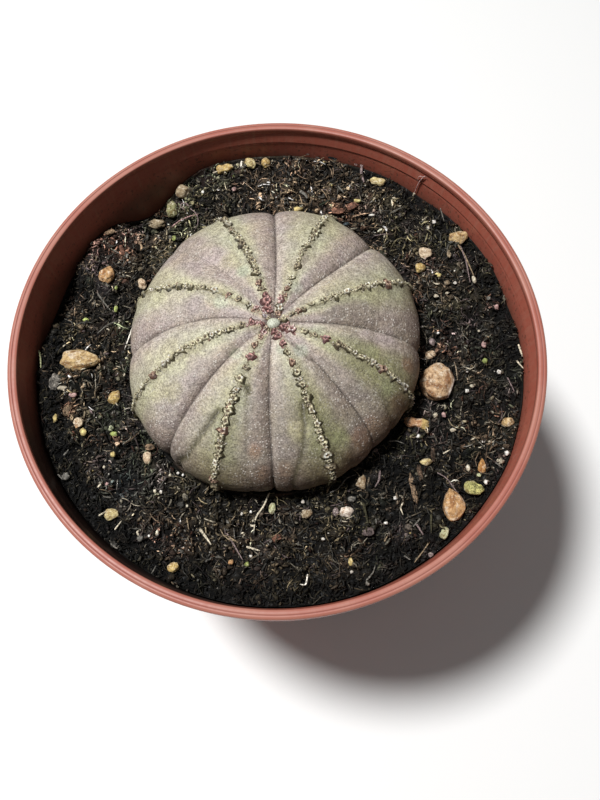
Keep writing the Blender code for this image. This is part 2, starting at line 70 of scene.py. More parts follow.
# Where the rays through pixels of the photograph meet a level: camera + ray * (level - camera height) / fall
def pixelsOnLevel(pixels, level):
    ahead, right, up = cameraAxes()
    pixels = np.asarray(pixels, float).reshape(-1, 2)
    focal = photoCamera["imageHeight"] * photoCamera["lens"] / photoCamera["film"]
    sideways = (pixels[:, 0] - photoCamera["imageWidth"] / 2) / focal
    upward = (photoCamera["imageHeight"] / 2 - pixels[:, 1]) / focal
    ray = ahead + sideways[:, None] * right + upward[:, None] * up
    place = np.array(photoCamera["place"])
    return place + ray * ((level - place[2]) / ray[:, 2])[:, None]


# Steady random numbers for whole-number places: the three numbers are mixed by multiplying and shifting
mixers = {"x": 374761393, "y": 668265263, "z": 1440662683, "seed": 1013904223, "last": 1274126177}


def drawAt(x, y, z, seed):
    mixed = x * mixers["x"] + y * mixers["y"] + z * mixers["z"] + np.int64(seed) * mixers["seed"]
    mixed = (mixed ^ (mixed >> 13)) * mixers["last"]
    mixed = mixed ^ (mixed >> 16)
    return (mixed & 0xFFFFFF) / 0xFFFFFF


# Smooth noise from -1 to 1: random values at the corners of a lattice, blended between its eight corners
def softNoise(places, size, seed):
    cell = np.asarray(places) / size
    low = np.floor(cell)
    part = cell - low
    part = part * part * (3 - 2 * part)
    low = low.astype(np.int64)
    total = 0.0
    for corner in itertools.product((0, 1), repeat=3):
        weight = 1.0
        for axis in range(3):
            weight = weight * (part[..., axis] if corner[axis] else 1 - part[..., axis])
        total = total + weight * drawAt(*(low[..., axis] + corner[axis] for axis in range(3)), seed)
    return 2 * total - 1


# Several layers of smooth noise, each half the size and half the strength of the one before
def layeredNoise(places, size, seed, layers=3):
    total = 0.0
    for layer in range(layers):
        total = total + softNoise(places, size / 2**layer, seed + layer) / 2**layer
    return total / (2 - 2.0 ** (1 - layers))


# Cell noise: distance to the nearest of one scattered point per lattice cell, in cells
def cellNoise(places, size, seed):
    cell = np.asarray(places) / size
    low = np.floor(cell).astype(np.int64)
    nearest = np.full(cell.shape[:-1], 9.0)
    for offset in itertools.product((-1, 0, 1), repeat=3):
        corner = [low[..., axis] + offset[axis] for axis in range(3)]
        away = 0.0
        for axis in range(3):
            away = away + (corner[axis] + drawAt(*corner, seed + axis) - cell[..., axis]) ** 2
        nearest = np.minimum(nearest, away)
    return np.sqrt(nearest)


# 0 below low and 1 above high, with a smooth rise between: share squared times (3 - 2 share)
def smoothStep(value, low=0.0, high=1.0):
    share = np.clip((value - low) / (high - low), 0.0, 1.0)
    return share * share * (3 - 2 * share)


# Blend of two colours, or of arrays of colours, by an array of shares
def blendTints(first, second, share):
    share = np.asarray(share)[..., None]
    return np.asarray(first) * (1 - share) + np.asarray(second) * share


# Corner numbers of the quads of a grid whose columns close round
def gridFaces(rows, columns):
    row = np.arange(rows - 1)[:, None] * columns
    column = np.arange(columns)[None, :]
    after = (column + 1) % columns
    quads = np.stack((row + column, row + after, row + columns + after, row + columns + column), axis=-1)
    return quads.reshape(-1, 4)


# A fan of triangles from one corner number to a closed ring of corner numbers
def fanFaces(pole, ring, turned=False):
    after = np.roll(ring, -1)
    fan = np.stack((np.full(len(ring), pole), ring, after), axis=-1)
    return fan[:, ::-1] if turned else fan


# Faces of a grid that closes round, with a fan at each end to the two points that follow the grid's own
def closedFaces(rows, columns, turned=False):
    ring = np.arange(columns)
    count = rows * columns
    quads = gridFaces(rows, columns)[:, ::-1] if turned else gridFaces(rows, columns)
    return [quads, fanFaces(count, ring, not turned), fanFaces(count + 1, ring + count - columns, turned)]


# Many shapes as one: points and tints in a row, and faces numbered on from shape to shape
def joinShapes(shapes):
    points, faces, tints, first = [], [], [], 0
    for shapePoints, shapeFaces, shapeTints in shapes:
        points.append(shapePoints.reshape(-1, 3))
        faces += [block + first for block in shapeFaces]
        tints.append(shapeTints)
        first += len(points[-1])
    return np.concatenate(points), faces, np.concatenate(tints)


# Two lengths turned in the level by an angle: cosine and sine of it, mixed
def turnedBy(angle, along, across):
    c, s = np.cos(angle), np.sin(angle)
    return c * along - s * across, s * along + c * across


# Sizes between two limits, by ratio: the low one times the ratio of the two to the power of a share
def sizesBetween(limits, share):
    return limits[0] * (limits[1] / limits[0]) ** share


# Puts an array of points and arrays of faces into a new mesh object that rides on the body
def addPiece(name, points, faces, finish, stands=(), tints=None, numbers=None, sharpAngle=None):
    points = np.asarray(points, float).reshape(-1, 3)
    mesh = bpy.data.meshes.new(name)
    mesh.vertices.add(len(points))
    mesh.vertices.foreach_set("co", points.ravel())
    corners = np.concatenate([np.asarray(block).ravel() for block in faces])
    sizes = np.concatenate([np.full(len(block), np.asarray(block).shape[1]) for block in faces])
    mesh.loops.add(len(corners))
    mesh.loops.foreach_set("vertex_index", corners.astype(np.int32))
    mesh.polygons.add(len(sizes))
    mesh.polygons.foreach_set("loop_start", np.concatenate(([0], np.cumsum(sizes)[:-1])).astype(np.int32))
    mesh.update(calc_edges=True)
    mesh.validate()
    mesh.shade_smooth()
    if sharpAngle is not None:
        mesh.set_sharp_from_angle(angle=math.radians(sharpAngle))
    if tints is not None:
        colours = np.ones((len(points), 4))
        colours[:, :3] = np.asarray(tints, float).reshape(-1, 3)
        mesh.attributes.new("tint", "FLOAT_COLOR", "POINT").data.foreach_set("color", colours.ravel())
    for key, values in (numbers or {}).items():
        values = np.asarray(values, float)
        if values.shape[-1] == 3 and values.size == points.size:
            mesh.attributes.new(key, "FLOAT_VECTOR", "POINT").data.foreach_set("vector", values.ravel())
        else:
            mesh.attributes.new(key, "FLOAT", "POINT").data.foreach_set("value", values.ravel())
    mesh.materials.append(finish)
    piece = bpy.data.objects.new(name, mesh)
    bpy.context.scene.collection.objects.link(piece)
    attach(piece, body)
    if stands:
        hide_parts(*stands)
    print(name, "has", len(mesh.polygons), "faces")
    return piece


# A socket in shader maths: an expression on it adds Math nodes
class Term:
    def __init__(self, finish, socket):
        self.finish = finish
        self.socket = socket

    def maths(self, operation, *values):
        return self.finish.node("ShaderNodeMath", {"operation": operation}, dict(enumerate(values)))

    def __add__(self, other):
        return self.maths("ADD", self, other)

    def __sub__(self, other):
        return self.maths("SUBTRACT", self, other)

    def __rsub__(self, other):
        return self.maths("SUBTRACT", other, self)

    def __mul__(self, other):
        return self.maths("MULTIPLY", self, other)

    def __truediv__(self, other):
        return self.maths("DIVIDE", self, other)

    def __pow__(self, other):
        return self.maths("POWER", self, other)

    __radd__ = __add__
    __rmul__ = __mul__

    # 0 below low and 1 above high, with a smooth rise between
    def between(self, low, high):
        values = {0: self, 1: low, 2: high, 3: 0.0, 4: 1.0}
        return self.finish.node("ShaderNodeMapRange", {"interpolation_type": "SMOOTHSTEP"}, values)


# A material in the making
class Finish:
    def __init__(self, name, roughness, constants=None):
        self.material = bpy.data.materials.new(name)
        self.material.use_nodes = True
        self.tree = self.material.node_tree
        self.shader = self.tree.nodes["Principled BSDF"]
        self.shader.inputs["Roughness"].default_value = roughness
        for socket, value in (constants or {}).items():
            self.shader.inputs[socket].default_value = value

    # Any node: its settings are set first, then the values or links of its sockets
    def node(self, kind, settings=None, values=None, out=0):
        made = self.tree.nodes.new(kind)
        for key, value in (settings or {}).items():
            setattr(made, key, value)
        for place, value in (values or {}).items():
            if isinstance(value, Term):
                self.tree.links.new(value.socket, made.inputs[place])
            elif isinstance(value, tuple) and made.inputs[place].type == "RGBA":
                made.inputs[place].default_value = (*value, 1.0)
            else:
                made.inputs[place].default_value = value
        return Term(self, made.outputs[out])

    def objectPlace(self):
        return self.node("ShaderNodeTexCoord", out=3)

    def attribute(self, name, out=2):
        return self.node("ShaderNodeAttribute", {"attribute_name": name}, out=out)

    def noise(self, place, scale, detail=2.0, roughness=0.5):
        values = {"Vector": place, "Scale": scale, "Detail": detail, "Roughness": roughness}
        return self.node("ShaderNodeTexNoise", None, values)

    # Distance to the nearest of scattered points
    def cells(self, place, scale):
        return self.node("ShaderNodeTexVoronoi", None, {"Vector": place, "Scale": scale})

    def stretched(self, place, factors):
        return self.node("ShaderNodeVectorMath", {"operation": "MULTIPLY"}, {0: place, 1: factors})

    def split(self, place):
        made = self.node("ShaderNodeSeparateXYZ", None, {0: place})
        outputs = made.socket.node.outputs
        return [Term(self, outputs[index]) for index in range(3)]

    # Blend of two colours by a mask, or their product where blend says so
    def mix(self, mask, first, second, blend="MIX"):
        settings = {"data_type": "RGBA", "blend_type": blend}
        return self.node("ShaderNodeMix", settings, {0: mask, 6: first, 7: second}, 2)

    # A colour times a tone that goes from dark to light as a pattern goes from low to high
    def toned(self, colour, pattern, low, high, dark, light):
        return self.mix(1.0, colour, self.mix(pattern.between(low, high), dark, light), "MULTIPLY")

    def set(self, socket, term):
        self.tree.links.new(term.socket, self.shader.inputs[socket])

    def bump(self, height, distance, strength=1.0):
        values = {"Strength": strength, "Distance": distance, "Height": height}
        self.set("Normal", self.node("ShaderNodeBump", None, values))


# Lengths of the pot, in metres
potShape = {
    "height": 0.0900,
    "lipRadius": 0.0525,
    "lipInnerRadius": 0.0507,
    "lipDepth": 0.0014,
    "bandHeight": 0.0105,
    "bandTopRadius": 0.0523,
    "bandFootRadius": 0.0519,
    "bandInnerFootRadius": 0.0496,
    "wall": 0.0012,
    "footRadius": 0.0385,
    "footWidth": 0.0024,
    "footHeight": 0.0030,
    "floor": 0.0014,
    "floorCorner": 0.0020,
    "columns": 216,
    "cornerPoints": 5,
    "drainHoles": 6,
    "drainHoleRadius": 0.0028,
    "drainHoleReach": 0.0260,
    "footNotches": 4,
    "footNotchAzimuth": 45.0,
    "footNotchWidth": 0.0070,
    "footNotchTopShare": 0.7,
    "footNotchHeight": 0.0016,
    "holeSides": 32,
    "longestSpan": 6.0,    # millimetres, along the section
    "waveHeight": 0.0006,
    "sharpAngle": 35,
}


# Corners of the pot's section, from the middle of the underside round the lip to the middle of the floor:
# radius and height in millimetres, and how far the corner is rounded
def potCorners():
    p = {key: value * 1000 for key, value in potShape.items()}
    bandZ = p["height"] - p["bandHeight"]
    wallRadius = p["bandInnerFootRadius"] + p["wall"]
    lipZ = p["height"] - p["lipDepth"]
    floorZ = p["footHeight"] + p["floor"]
    floorRadius = p["footRadius"] - p["wall"]
    top = p["height"]
    lip = p["lipRadius"]
    inner = p["lipInnerRadius"]
    return [
        (0.0, p["footHeight"], 0.0),
        (p["footRadius"] - p["footWidth"], p["footHeight"], 0.5),
        (p["footRadius"] - p["footWidth"], 0.0, 0.3),
        (p["footRadius"], 0.0, 0.5),
        (wallRadius - 1.2, bandZ - 7.8, 0.6),
        (wallRadius, bandZ, 0.35),
        (p["bandFootRadius"] - 0.1, bandZ, 0.2),
        (p["bandFootRadius"], bandZ + 0.9, 0.5),
        (p["bandTopRadius"] - 0.18, lipZ - 0.5, 0.3),
        (p["bandTopRadius"] - 0.18, lipZ - 0.1, 0.08),
        (lip, lipZ, 0.12),
        (lip, top - 0.25, 0.22),
        (lip - 0.45, top, 0.2),
        (lip - 0.72, top - 0.03, 0.05),
        (lip - 0.80, top - 0.16, 0.05),
        (lip - 0.92, top - 0.05, 0.06),
        (lip - 1.30, top - 0.03, 0.15),
        (inner + 0.10, top - 0.16, 0.12),
        (inner, top - 0.5, 0.15),
        (inner, lipZ + 0.1, 0.1),
        (inner + 0.22, lipZ - 0.25, 0.08),
        (inner - 0.50, top - 3.85, 0.04),
        (inner - 0.26, top - 3.98, 0.04),
        (inner - 0.46, top - 4.7, 0.3),
        (p["bandInnerFootRadius"], bandZ, 0.8),
        (floorRadius, floorZ + 3.0, 0.0),
        (floorRadius, floorZ, 2.0),
        (0.0, floorZ, 0.0),
    ]


# A line with its corners rounded: each corner becomes a short curve between a point before and one after it
def roundedLine(corners, count):
    points = [np.array(corners[0][:2])]
    for before, corner, after in zip(corners, corners[1:], corners[2:]):
        here = np.array(corner[:2])
        if corner[2] == 0.0:
            points.append(here)
            continue
        ends = []
        for other in (before, after):
            way = np.array(other[:2]) - here
            length = np.linalg.norm(way)
            ends.append(here + way / length * min(corner[2], 0.49 * length))
        for share in np.linspace(0.0, 1.0, count):
            points.append(ends[0] * (1 - share) ** 2 + 2 * here * share * (1 - share) + ends[1] * share**2)
    points.append(np.array(corners[-1][:2]))
    return np.array(points)


# A long span of the section gets points between its ends, so that no face is very long
def filledLine(points, longest):
    filled = [points[0]]
    for first, second in zip(points, points[1:]):
        steps = max(1, int(math.ceil(np.linalg.norm(second - first) / longest)))
        filled += [first + (second - first) * step / steps for step in range(1, steps + 1)]
    return np.array(filled)


# Closed prism: two rings of points joined by quads, each closed by a fan to its middle
def prism(low, high):
    return np.concatenate((low, high, [low.mean(axis=0)], [high.mean(axis=0)])), closedFaces(2, len(low))


# The bars that cut the drain holes, upright, and the notches under the foot, across it
def drainBars():
    p = potShape
    bars = []
    turn = np.linspace(0, 2 * math.pi, p["holeSides"], endpoint=False)
    centres = [(0.0, 0.0)]
    for index in range(p["drainHoles"]):
        angle = 2 * math.pi * index / p["drainHoles"]
        centres.append((p["drainHoleReach"] * math.cos(angle), p["drainHoleReach"] * math.sin(angle)))
    for x, y in centres:
        ring = [x + p["drainHoleRadius"] * np.cos(turn), y + p["drainHoleRadius"] * np.sin(turn)]
        low = np.stack((*ring, np.full(len(turn), p["footHeight"] - p["floor"])), axis=1)
        high = low + (0.0, 0.0, 3 * p["floor"])
        bars.append(prism(low, high))
    for index in range(p["footNotches"]):
        angle = math.radians(p["footNotchAzimuth"]) + 2 * math.pi * index / p["footNotches"]
        along = np.array([math.cos(angle), math.sin(angle), 0.0])
        across = np.array([-math.sin(angle), math.cos(angle), 0.0]) * p["footNotchWidth"] / 2
        up = np.array([0.0, 0.0, p["footNotchHeight"]])
        narrow = across * p["footNotchTopShare"]
        middle = along * (p["footRadius"] - p["footWidth"] / 2)
        ends = []
        for side in (1, -1):
            edge = middle + along * side * p["footWidth"]
            ends.append(np.array([edge - across - up, edge + across - up, edge + narrow + up, edge - narrow + up]))
        bars.append(prism(*ends))
    return bars


# Terracotta plastic: satin, mottled by fine noise, faint upright streaks, dusty, paler on the lip with a painted
# highlight ring and a painted shade line in its groove, and painted shade low on the inside
def potFinish():
    look = {
        "colour": (0.33, 0.085, 0.055),
        "lipColour": (0.35, 0.110, 0.078),
        "lipPaleAndHighlight": (0.39, 0.162, 0.118),
        "grooveShade": (0.22, 0.105, 0.10),
        "dust": (0.36, 0.17, 0.12),
        "splashAndShade": (0.075, 0.040, 0.024),
        "innerShade": (0.020, 0.012, 0.009),
        "roughness": 0.42,
    }
    finish = Finish("terracottaPlastic", look["roughness"])
    place = finish.objectPlace()
    x, y, z = finish.split(place)
    azimuth = finish.node("ShaderNodeMath", {"operation": "ARCTAN2"}, {0: y, 1: x})
    reach = (x * x + y * y) ** 0.5
    around = finish.node("ShaderNodeCombineXYZ", None, {0: azimuth * 9.0, 1: z * 14.0, 2: reach * 30.0})
    streaks = finish.noise(around, 6.0, 4.0, 0.6)
    mottle = finish.noise(place, 900.0, 3.0, 0.6)
    patches = finish.noise(place, 90.0, 3.0, 0.55)
    colour = finish.mix(streaks.between(0.45, 0.75) * 0.30, look["colour"], look["dust"])
    colour = finish.mix(mottle.between(0.35, 0.75) * 0.16, colour, look["dust"])
    # On the lip the plastic is paler and pinker; the pale ring on its rounded outer edge is a painted highlight
    top = z.between(0.0891, 0.0897)
    lip = finish.mix(patches.between(0.35, 0.65), look["lipColour"], look["lipPaleAndHighlight"])
    rings = (reach - 0.05205).between(0.0, 0.00018) * (1 - (reach - 0.05236).between(0.0, 0.00008))
    lip = finish.mix(rings * 0.55, lip, look["lipPaleAndHighlight"])
    # Painted shade: a thin dark line in the groove of the lip
    line = (reach - 0.05164).between(0.0, 0.00004) * (1 - (reach - 0.05172).between(0.0, 0.00004))
    lip = finish.mix(line * 0.8, lip, look["grooveShade"])
    colour = finish.mix(top * 0.85, colour, lip)
    # Soil splashes, and painted shade that darkens the inside lower down towards the soil, within a cone that runs
    # between the wall's two skins
    cone = 0.0379 + 0.1547 * z
    inside = (reach - cone).between(0.0, -0.0002) * z.between(0.0060, 0.0080)
    low = (z + patches * 0.004).between(0.0866, 0.0826)
    spots = finish.noise(place, 1500.0, 2.0, 0.5).between(0.56, 0.70)
    colour = finish.mix(inside * low * 0.55, colour, look["splashAndShade"])
    # Painted shade: near black low on the inner wall at the front left, the side that faces away from the light
    nearLeft = ((x + y) / reach * -0.7071).between(0.70, 0.93)
    colour = finish.mix(inside * nearLeft * z.between(0.0893, 0.0880) * 0.9, colour, look["innerShade"])
    colour = finish.mix(inside * spots * (z.between(0.0885, 0.0840) * 0.7), colour, look["splashAndShade"])
    grit = finish.cells(place, 700.0).between(0.10, 0.05) * finish.noise(place, 160.0).between(0.5, 0.62)
    colour = finish.mix(grit * 0.5, colour, look["lipPaleAndHighlight"])
    finish.set("Base Color", colour)
    finish.set("Roughness", look["roughness"] + 0.22 * mottle + 0.12 * patches - 0.1)
    finish.bump(mottle * 0.5 + streaks * 0.8, 0.00006, 0.6)
    return finish.material


# The pot: its section turned round the axis, with the drain holes and the notches cut out
def makePot():
    p = potShape
    line = filledLine(roundedLine(potCorners(), p["cornerPoints"]), p["longestSpan"]) / 1000
    turn = np.linspace(0, 2 * math.pi, p["columns"], endpoint=False)
    reach, z = line[1:-1, 0:1], line[1:-1, 1:2]
    rings = np.stack((reach * np.cos(turn), reach * np.sin(turn), np.repeat(z, len(turn), axis=1)), axis=-1)
    # Moulded walls are never quite true: a faint wave round the body, up to the band
    wave = 1 + p["waveHeight"] * np.sin(3 * turn + 0.6) * smoothStep(rings[..., 2], 0.005, 0.04)
    wave = np.where(rings[..., 2] > 0.079, 1.0, wave)
    rings[..., :2] *= wave[..., None]
    points = np.concatenate((rings.reshape(-1, 3), [(0, 0, line[0, 1])], [(0, 0, line[-1, 1])]))
    faces = closedFaces(len(reach), len(turn))
    finish, angle = potFinish(), p["sharpAngle"]
    pot = addPiece("potShell", points, faces, finish, ("pot",), sharpAngle=angle)
    bars = drainBars()
    cutterPoints, cutterFaces, _ = joinShapes([(barPoints, barFaces, barPoints) for barPoints, barFaces in bars])
    cutter = bpy.data.meshes.new("drainBars")
    allFaces = [tuple(int(corner) for corner in face) for faceBlock in cutterFaces for face in faceBlock]
    cutter.from_pydata(cutterPoints.tolist(), [], allFaces)
    cutterObject = bpy.data.objects.new("drainBars", cutter)
    bpy.context.scene.collection.objects.link(cutterObject)
    cut = pot.modifiers.new("drains", "BOOLEAN")
    cut.operation = "DIFFERENCE"
    cut.solver = "EXACT"
    cut.object = cutterObject
    bpy.context.view_layer.update()
    finished = bpy.data.meshes.new_from_object(pot.evaluated_get(bpy.context.evaluated_depsgraph_get()))
    pot.modifiers.remove(cut)
    pot.data = finished
    bpy.data.objects.remove(cutterObject)
    pot.data.set_sharp_from_angle(angle=math.radians(angle))


# Radius of the pot's inside at a height
def wallRadius(z):
    p = potShape
    floorZ = p["footHeight"] + p["floor"]
    heights = [floorZ + p["floorCorner"], p["height"] - p["bandHeight"], p["height"] - p["lipDepth"]]
    return np.interp(z, heights, [p["footRadius"] - p["wall"], p["bandInnerFootRadius"], p["lipInnerRadius"]])


# Lengths of the plant, in metres, and azimuths in degrees
plantShape = {
    "x": -0.0007,
    "y": 0.0006,
    "equatorZ": 0.0870,
    "equatorRadius": 0.0290,
    "domeHeight": 0.0107,
    "domeRoundness": 2.4,
    "lowerDepth": 0.0220,
    "neckRadius": 0.0080,
    "rootLength": 0.0360,
    "rootTipRadius": 0.0012,
    "rootTaper": 1.6,
    # Swells and dips of the plan: azimuth, angular reach and height
    "swells": ((228, 28, 0.0012), (75, 35, 0.0007), (150, 16, -0.0010), (182, 20, -0.0008), (322, 30, -0.0007)),
    # Azimuth at the equator, lean per millimetre inwards and bow of each rib's crest, and of the furrow after it
    "crests": (
        (19.4, -0.106, -0.0045),
        (63.2, -0.261, -0.0093),
        (110.3, 0.273, 0.0),
        (159.5, 0.729, -0.0033),
        (204.4, 0.772, 0.0015),
        (246.6, 0.381, -0.0025),
        (288.2, -0.180, -0.0061),
        (331.2, -0.206, 0.0031),
    ),
    "furrows": (
        (42.8, 0.25, 0.017),
        (87.3, 0.12, -0.002),
        (134.5, 0.50, 0.0),
        (183.3, 0.78, 0.0),
        (224.9, 0.33, -0.008),
        (266.9, 0.12, -0.0046),
        (308.8, -0.19, 0.0),
        (352.5, -0.30, 0.0),
    ),
    "furrowDepths": (1.0, 1.0, 0.10, 0.70, 1.2, 1.1, 0.55, 0.95),
    "furrowShadeLines": (0.9, 0.8, 0.0, 0.55, 0.7, 0.8, 0.85, 0.9),
    # 1 where the side before a furrow is the steep one, -1 where the side after it is, 0 where neither is
    "furrowSteep": (1, 1, 0, -1, -1, -1, 0, 1),
    "ridge": 0.00050,
    "ridgeReach": 0.0009,
    "bulge": 0.00085,
    "bulgeSink": 0.00040,
    "softPower": 2.3,
    "steepPower": 4.6,
    "crease": 0.00065,
    "softReach": 0.0006,
    "steepReach": 0.00030,
    "fullHalfWidth": 0.0072,
    "columnsPerSide": 26,
    "rowStep": 0.00020,
    "buriedRows": 12,
    "beadPitch": 0.0017,
    "domeSamples": 240,
    "lowerSamples": 120,
    "rootSamples": 60,
    # Height, size and seed of the noises that make the skin uneven
    "unevenness": ((0.00014, 0.0045, 41), (0.00005, 0.0014, 42), (0.000022, 0.0007, 44)),
}
# Folds that the photograph shows on the flanks: pixels along them, depth, half width and how dark their painted shade
# is
seenFolds = (
    (((219, 411), (213, 419.5), (202, 434.5), (197, 442), (187, 457), (179, 463)), 0.00065, 0.00050, 0.95),
    (((248.5, 389), (248, 412), (247, 440), (247, 468)), 0.00014, 0.00035, 0.35),
    (((247.5, 387), (249.5, 392)), 0.00055, 0.00050, 0.95),
    (((303, 402), (304.5, 425), (303, 448), (299, 464), (293, 484)), 0.00040, 0.00050, 0.85),
    (((384, 398), (389, 412), (391, 428)), 0.00040, 0.00060, 0.45),
    (((334, 452), (344, 460), (352, 462)), 0.00030, 0.00060, 0.40),
    (((138, 344), (146, 340), (156, 335)), 0.00020, 0.00050, 0.20),
    (((236, 462), (243, 474), (252, 484)), 0.00025, 0.00050, 0.35),
    (((392, 262), (398, 270), (404, 274)), 0.00025, 0.00050, 0.30),
    (((288, 340), (301, 350), (307, 356), (312, 360)), 0.00010, 0.00030, 0.30),
)


# Half outline of the body from the top of the dome to the root's tip, with the length along it
def bodyOutline():
    p = plantShape
    turn = np.linspace(0.0, math.pi / 2, p["domeSamples"])
    power = 2 / p["domeRoundness"]
    domeR = p["equatorRadius"] * np.sin(turn) ** power
    domeZ = p["equatorZ"] + p["domeHeight"] * np.abs(np.cos(turn)) ** power
    domeZ[-1] = p["equatorZ"]
    down = np.linspace(0.0, math.acos(p["neckRadius"] / p["equatorRadius"]), p["lowerSamples"])[1:]
    lowerR = p["equatorRadius"] * np.cos(down)
    lowerZ = p["equatorZ"] - p["lowerDepth"] * np.sin(down)
    share = np.linspace(0.0, 1.0, p["rootSamples"])[1:]
    rootR = p["rootTipRadius"] + (p["neckRadius"] - p["rootTipRadius"]) * (1 - share) ** p["rootTaper"]
    rootZ = lowerZ[-1] - p["rootLength"] * share
    radius = np.concatenate((domeR, lowerR, rootR))
    height = np.concatenate((domeZ, lowerZ, rootZ))
    length = np.concatenate(([0.0], np.cumsum(np.hypot(np.diff(radius), np.diff(height)))))
    return radius, height, length, len(turn)


outlineRadius, outlineHeight, outlineLength, domeCount = bodyOutline()
soilLineZ = 0.0818
soilLine = float(np.interp(-soilLineZ, -outlineHeight, outlineLength))


# How far the plan stands out from a circle: a sum of bell curves of the azimuth
def planSwell(azimuth):
    out = 0.0
    for middle, reach, height in plantShape["swells"]:
        away = (np.degrees(azimuth) - middle + 180) % 360 - 180
        out = out + height * np.exp(-((away / reach) ** 2))
    return out


# Reach of the swollen plan where the round body has a radius: radius * (1 + swell / radius of the equator)
def swollen(radius, azimuth):
    return radius * (1 + planSwell(azimuth) / plantShape["equatorRadius"])


# Level places round the plant's axis: its place + reach * direction of the azimuth
def roundPlant(reach, azimuth):
    return plantShape["x"] + reach * np.cos(azimuth), plantShape["y"] + reach * np.sin(azimuth)


# Azimuth of a crest or furrow where the body has a radius: base + lean * inward + bow * inward squared
def lineAzimuth(lines, which, radius):
    table = np.array(lines)[which]
    inward = (radius - plantShape["equatorRadius"]) * 1000
    return np.radians(table[..., 0] + table[..., 1] * inward + table[..., 2] * inward**2)


# Where a point of the skin lies: azimuth, distance from its crest and half width of its side of the rib
def ribPlace(along, rib, share):
    radius = np.interp(along, outlineLength, outlineRadius)
    side = np.where(share < 0, -1, 1)
    middle = lineAzimuth(plantShape["crests"], rib, radius)
    edge = lineAzimuth(plantShape["furrows"], np.where(side > 0, rib, rib - 1), radius)
    opening = (side * (edge - middle)) % (2 * math.pi)
    azimuth = middle + side * np.abs(share) * opening
    return radius, azimuth, np.abs(share) * opening * radius, opening * radius


# Points of the dome under pixels of the photograph: of many levels, the one where the ray meets the outline
def onPlant(pixels):
    p = plantShape
    levels = np.linspace(p["equatorZ"], p["equatorZ"] + p["domeHeight"], 220)
    rows = np.stack([pixelsOnLevel(pixels, level) for level in levels])
    dx, dy = rows[..., 0] - p["x"], rows[..., 1] - p["y"]
    azimuth = np.arctan2(dy, dx)
    radius = np.hypot(dx, dy) / (1 + planSwell(azimuth) / p["equatorRadius"])
    height = np.interp(radius, outlineRadius[:domeCount], outlineHeight[:domeCount])
    chosen = (np.abs(height - rows[..., 2]) + np.maximum(radius - p["equatorRadius"], 0.0)).argmin(axis=0)
    which = chosen, np.arange(len(chosen))
    radius = np.minimum(radius[which], p["equatorRadius"])
    along = np.interp(radius, outlineRadius[:domeCount], outlineLength[:domeCount])
    return rows[which], azimuth[which], radius, along


# Distance of points from a line of points, span by span, level
def lineDistance(points, line):
    nearest = np.full(points.shape[:-1], 1.0)
    for first, second in zip(line, line[1:]):
        way = second - first
        share = np.clip((points - first) @ way / (way @ way), 0.0, 1.0)
        away = points - first - share[..., None] * way
        nearest = np.minimum(nearest, np.linalg.norm(away, axis=-1))
    return nearest


# How close places of the skin are to each fold: a bell curve of the level distance from it
def foldShares(azimuth, radius):
    level = np.stack(roundPlant(swollen(radius, azimuth), azimuth), axis=-1)
    shares = []
    for pixels, _, width, _ in seenFolds:
        line = onPlant(np.array(pixels, float))[0][:, :2]
        shares.append(np.exp(-((lineDistance(level, line) / width) ** 2)))
    return shares


# Number of the furrow at the end of a rib's side, and how steep that side is there, from -1 to 1
def furrowOf(rib, share):
    which = np.where(share < 0, rib - 1, rib) % len(plantShape["furrows"])
    return which, np.where(share < 0, -1, 1) * np.array(plantShape["furrowSteep"])[which]


# Height over the outline: a ridge at the crest, a bulged flank, a crease at the furrow and fine unevenness
def skinRelief(along, rib, share, radius, way, half, azimuth):
    p = plantShape
    full = np.minimum(1.0, half / p["fullHalfWidth"])
    which, steep = furrowOf(rib, share)
    depth = np.array(p["furrowDepths"])[which]
    ridge = p["ridge"] * np.exp(-((way / p["ridgeReach"]) ** 2))
    x = np.abs(share)
    power = p["softPower"] + (p["steepPower"] - p["softPower"]) * (1 + steep) / 2
    bulge = p["bulge"] * (1 - (0.35 + 0.65 * depth) * x**power) - p["bulgeSink"]
    reach = p["softReach"] + (p["steepReach"] - p["softReach"]) * (1 + steep) / 2
    crease = p["crease"] * depth * np.exp(-(half - way) / reach)
    spot = np.stack(np.broadcast_arrays(azimuth * 0.02, along, rib * 0.1), axis=-1)
    uneven = sum(tall * softNoise(spot, size, seed) for tall, size, seed in p["unevenness"])
    # Faint ripples across the flank, 1.2 mm apart, in some places only
    low = 0.000004 + 0.000020 * smoothStep(along, 0.016, 0.028)
    low = low * smoothStep(softNoise(spot, 0.0035, 45), -0.2, 0.5)
    ripple = low * np.sin(2 * math.pi * along / 0.0012 + 7 * softNoise(spot, 0.003, 43))
    folds = sum(fold[1] * closeness for fold, closeness in zip(seenFolds, foldShares(azimuth, radius)))
    return full * (ridge + bulge - crease) + uneven + ripple * smoothStep(x, 0.1, 0.4) - folds


# Points of the skin: the outline, swollen by the plan, raised along its normal by the relief
def skinPoints(along, rib, share):
    p = plantShape
    along, rib, share = np.broadcast_arrays(along, rib, share)
    radius, azimuth, way, half = ribPlace(along, rib, share)
    z = np.interp(along, outlineLength, outlineHeight)
    step = 0.0002
    slopeR, slopeZ = (
        np.interp(along + step, outlineLength, line) - np.interp(along - step, outlineLength, line)
        for line in (outlineRadius, outlineHeight)
    )
    size = np.hypot(slopeR, slopeZ)
    normalR, normalZ = -slopeZ / size, slopeR / size
    fade = np.clip(1 - np.maximum(0.0, p["equatorZ"] - z) / p["lowerDepth"], 0.0, 1.0)
    rise = fade * skinRelief(along, rib, share, radius, way, half, azimuth)
    reach = swollen(radius, azimuth) + normalR * rise
    return np.stack((*roundPlant(reach, azimuth), z + normalZ * rise), axis=-1)


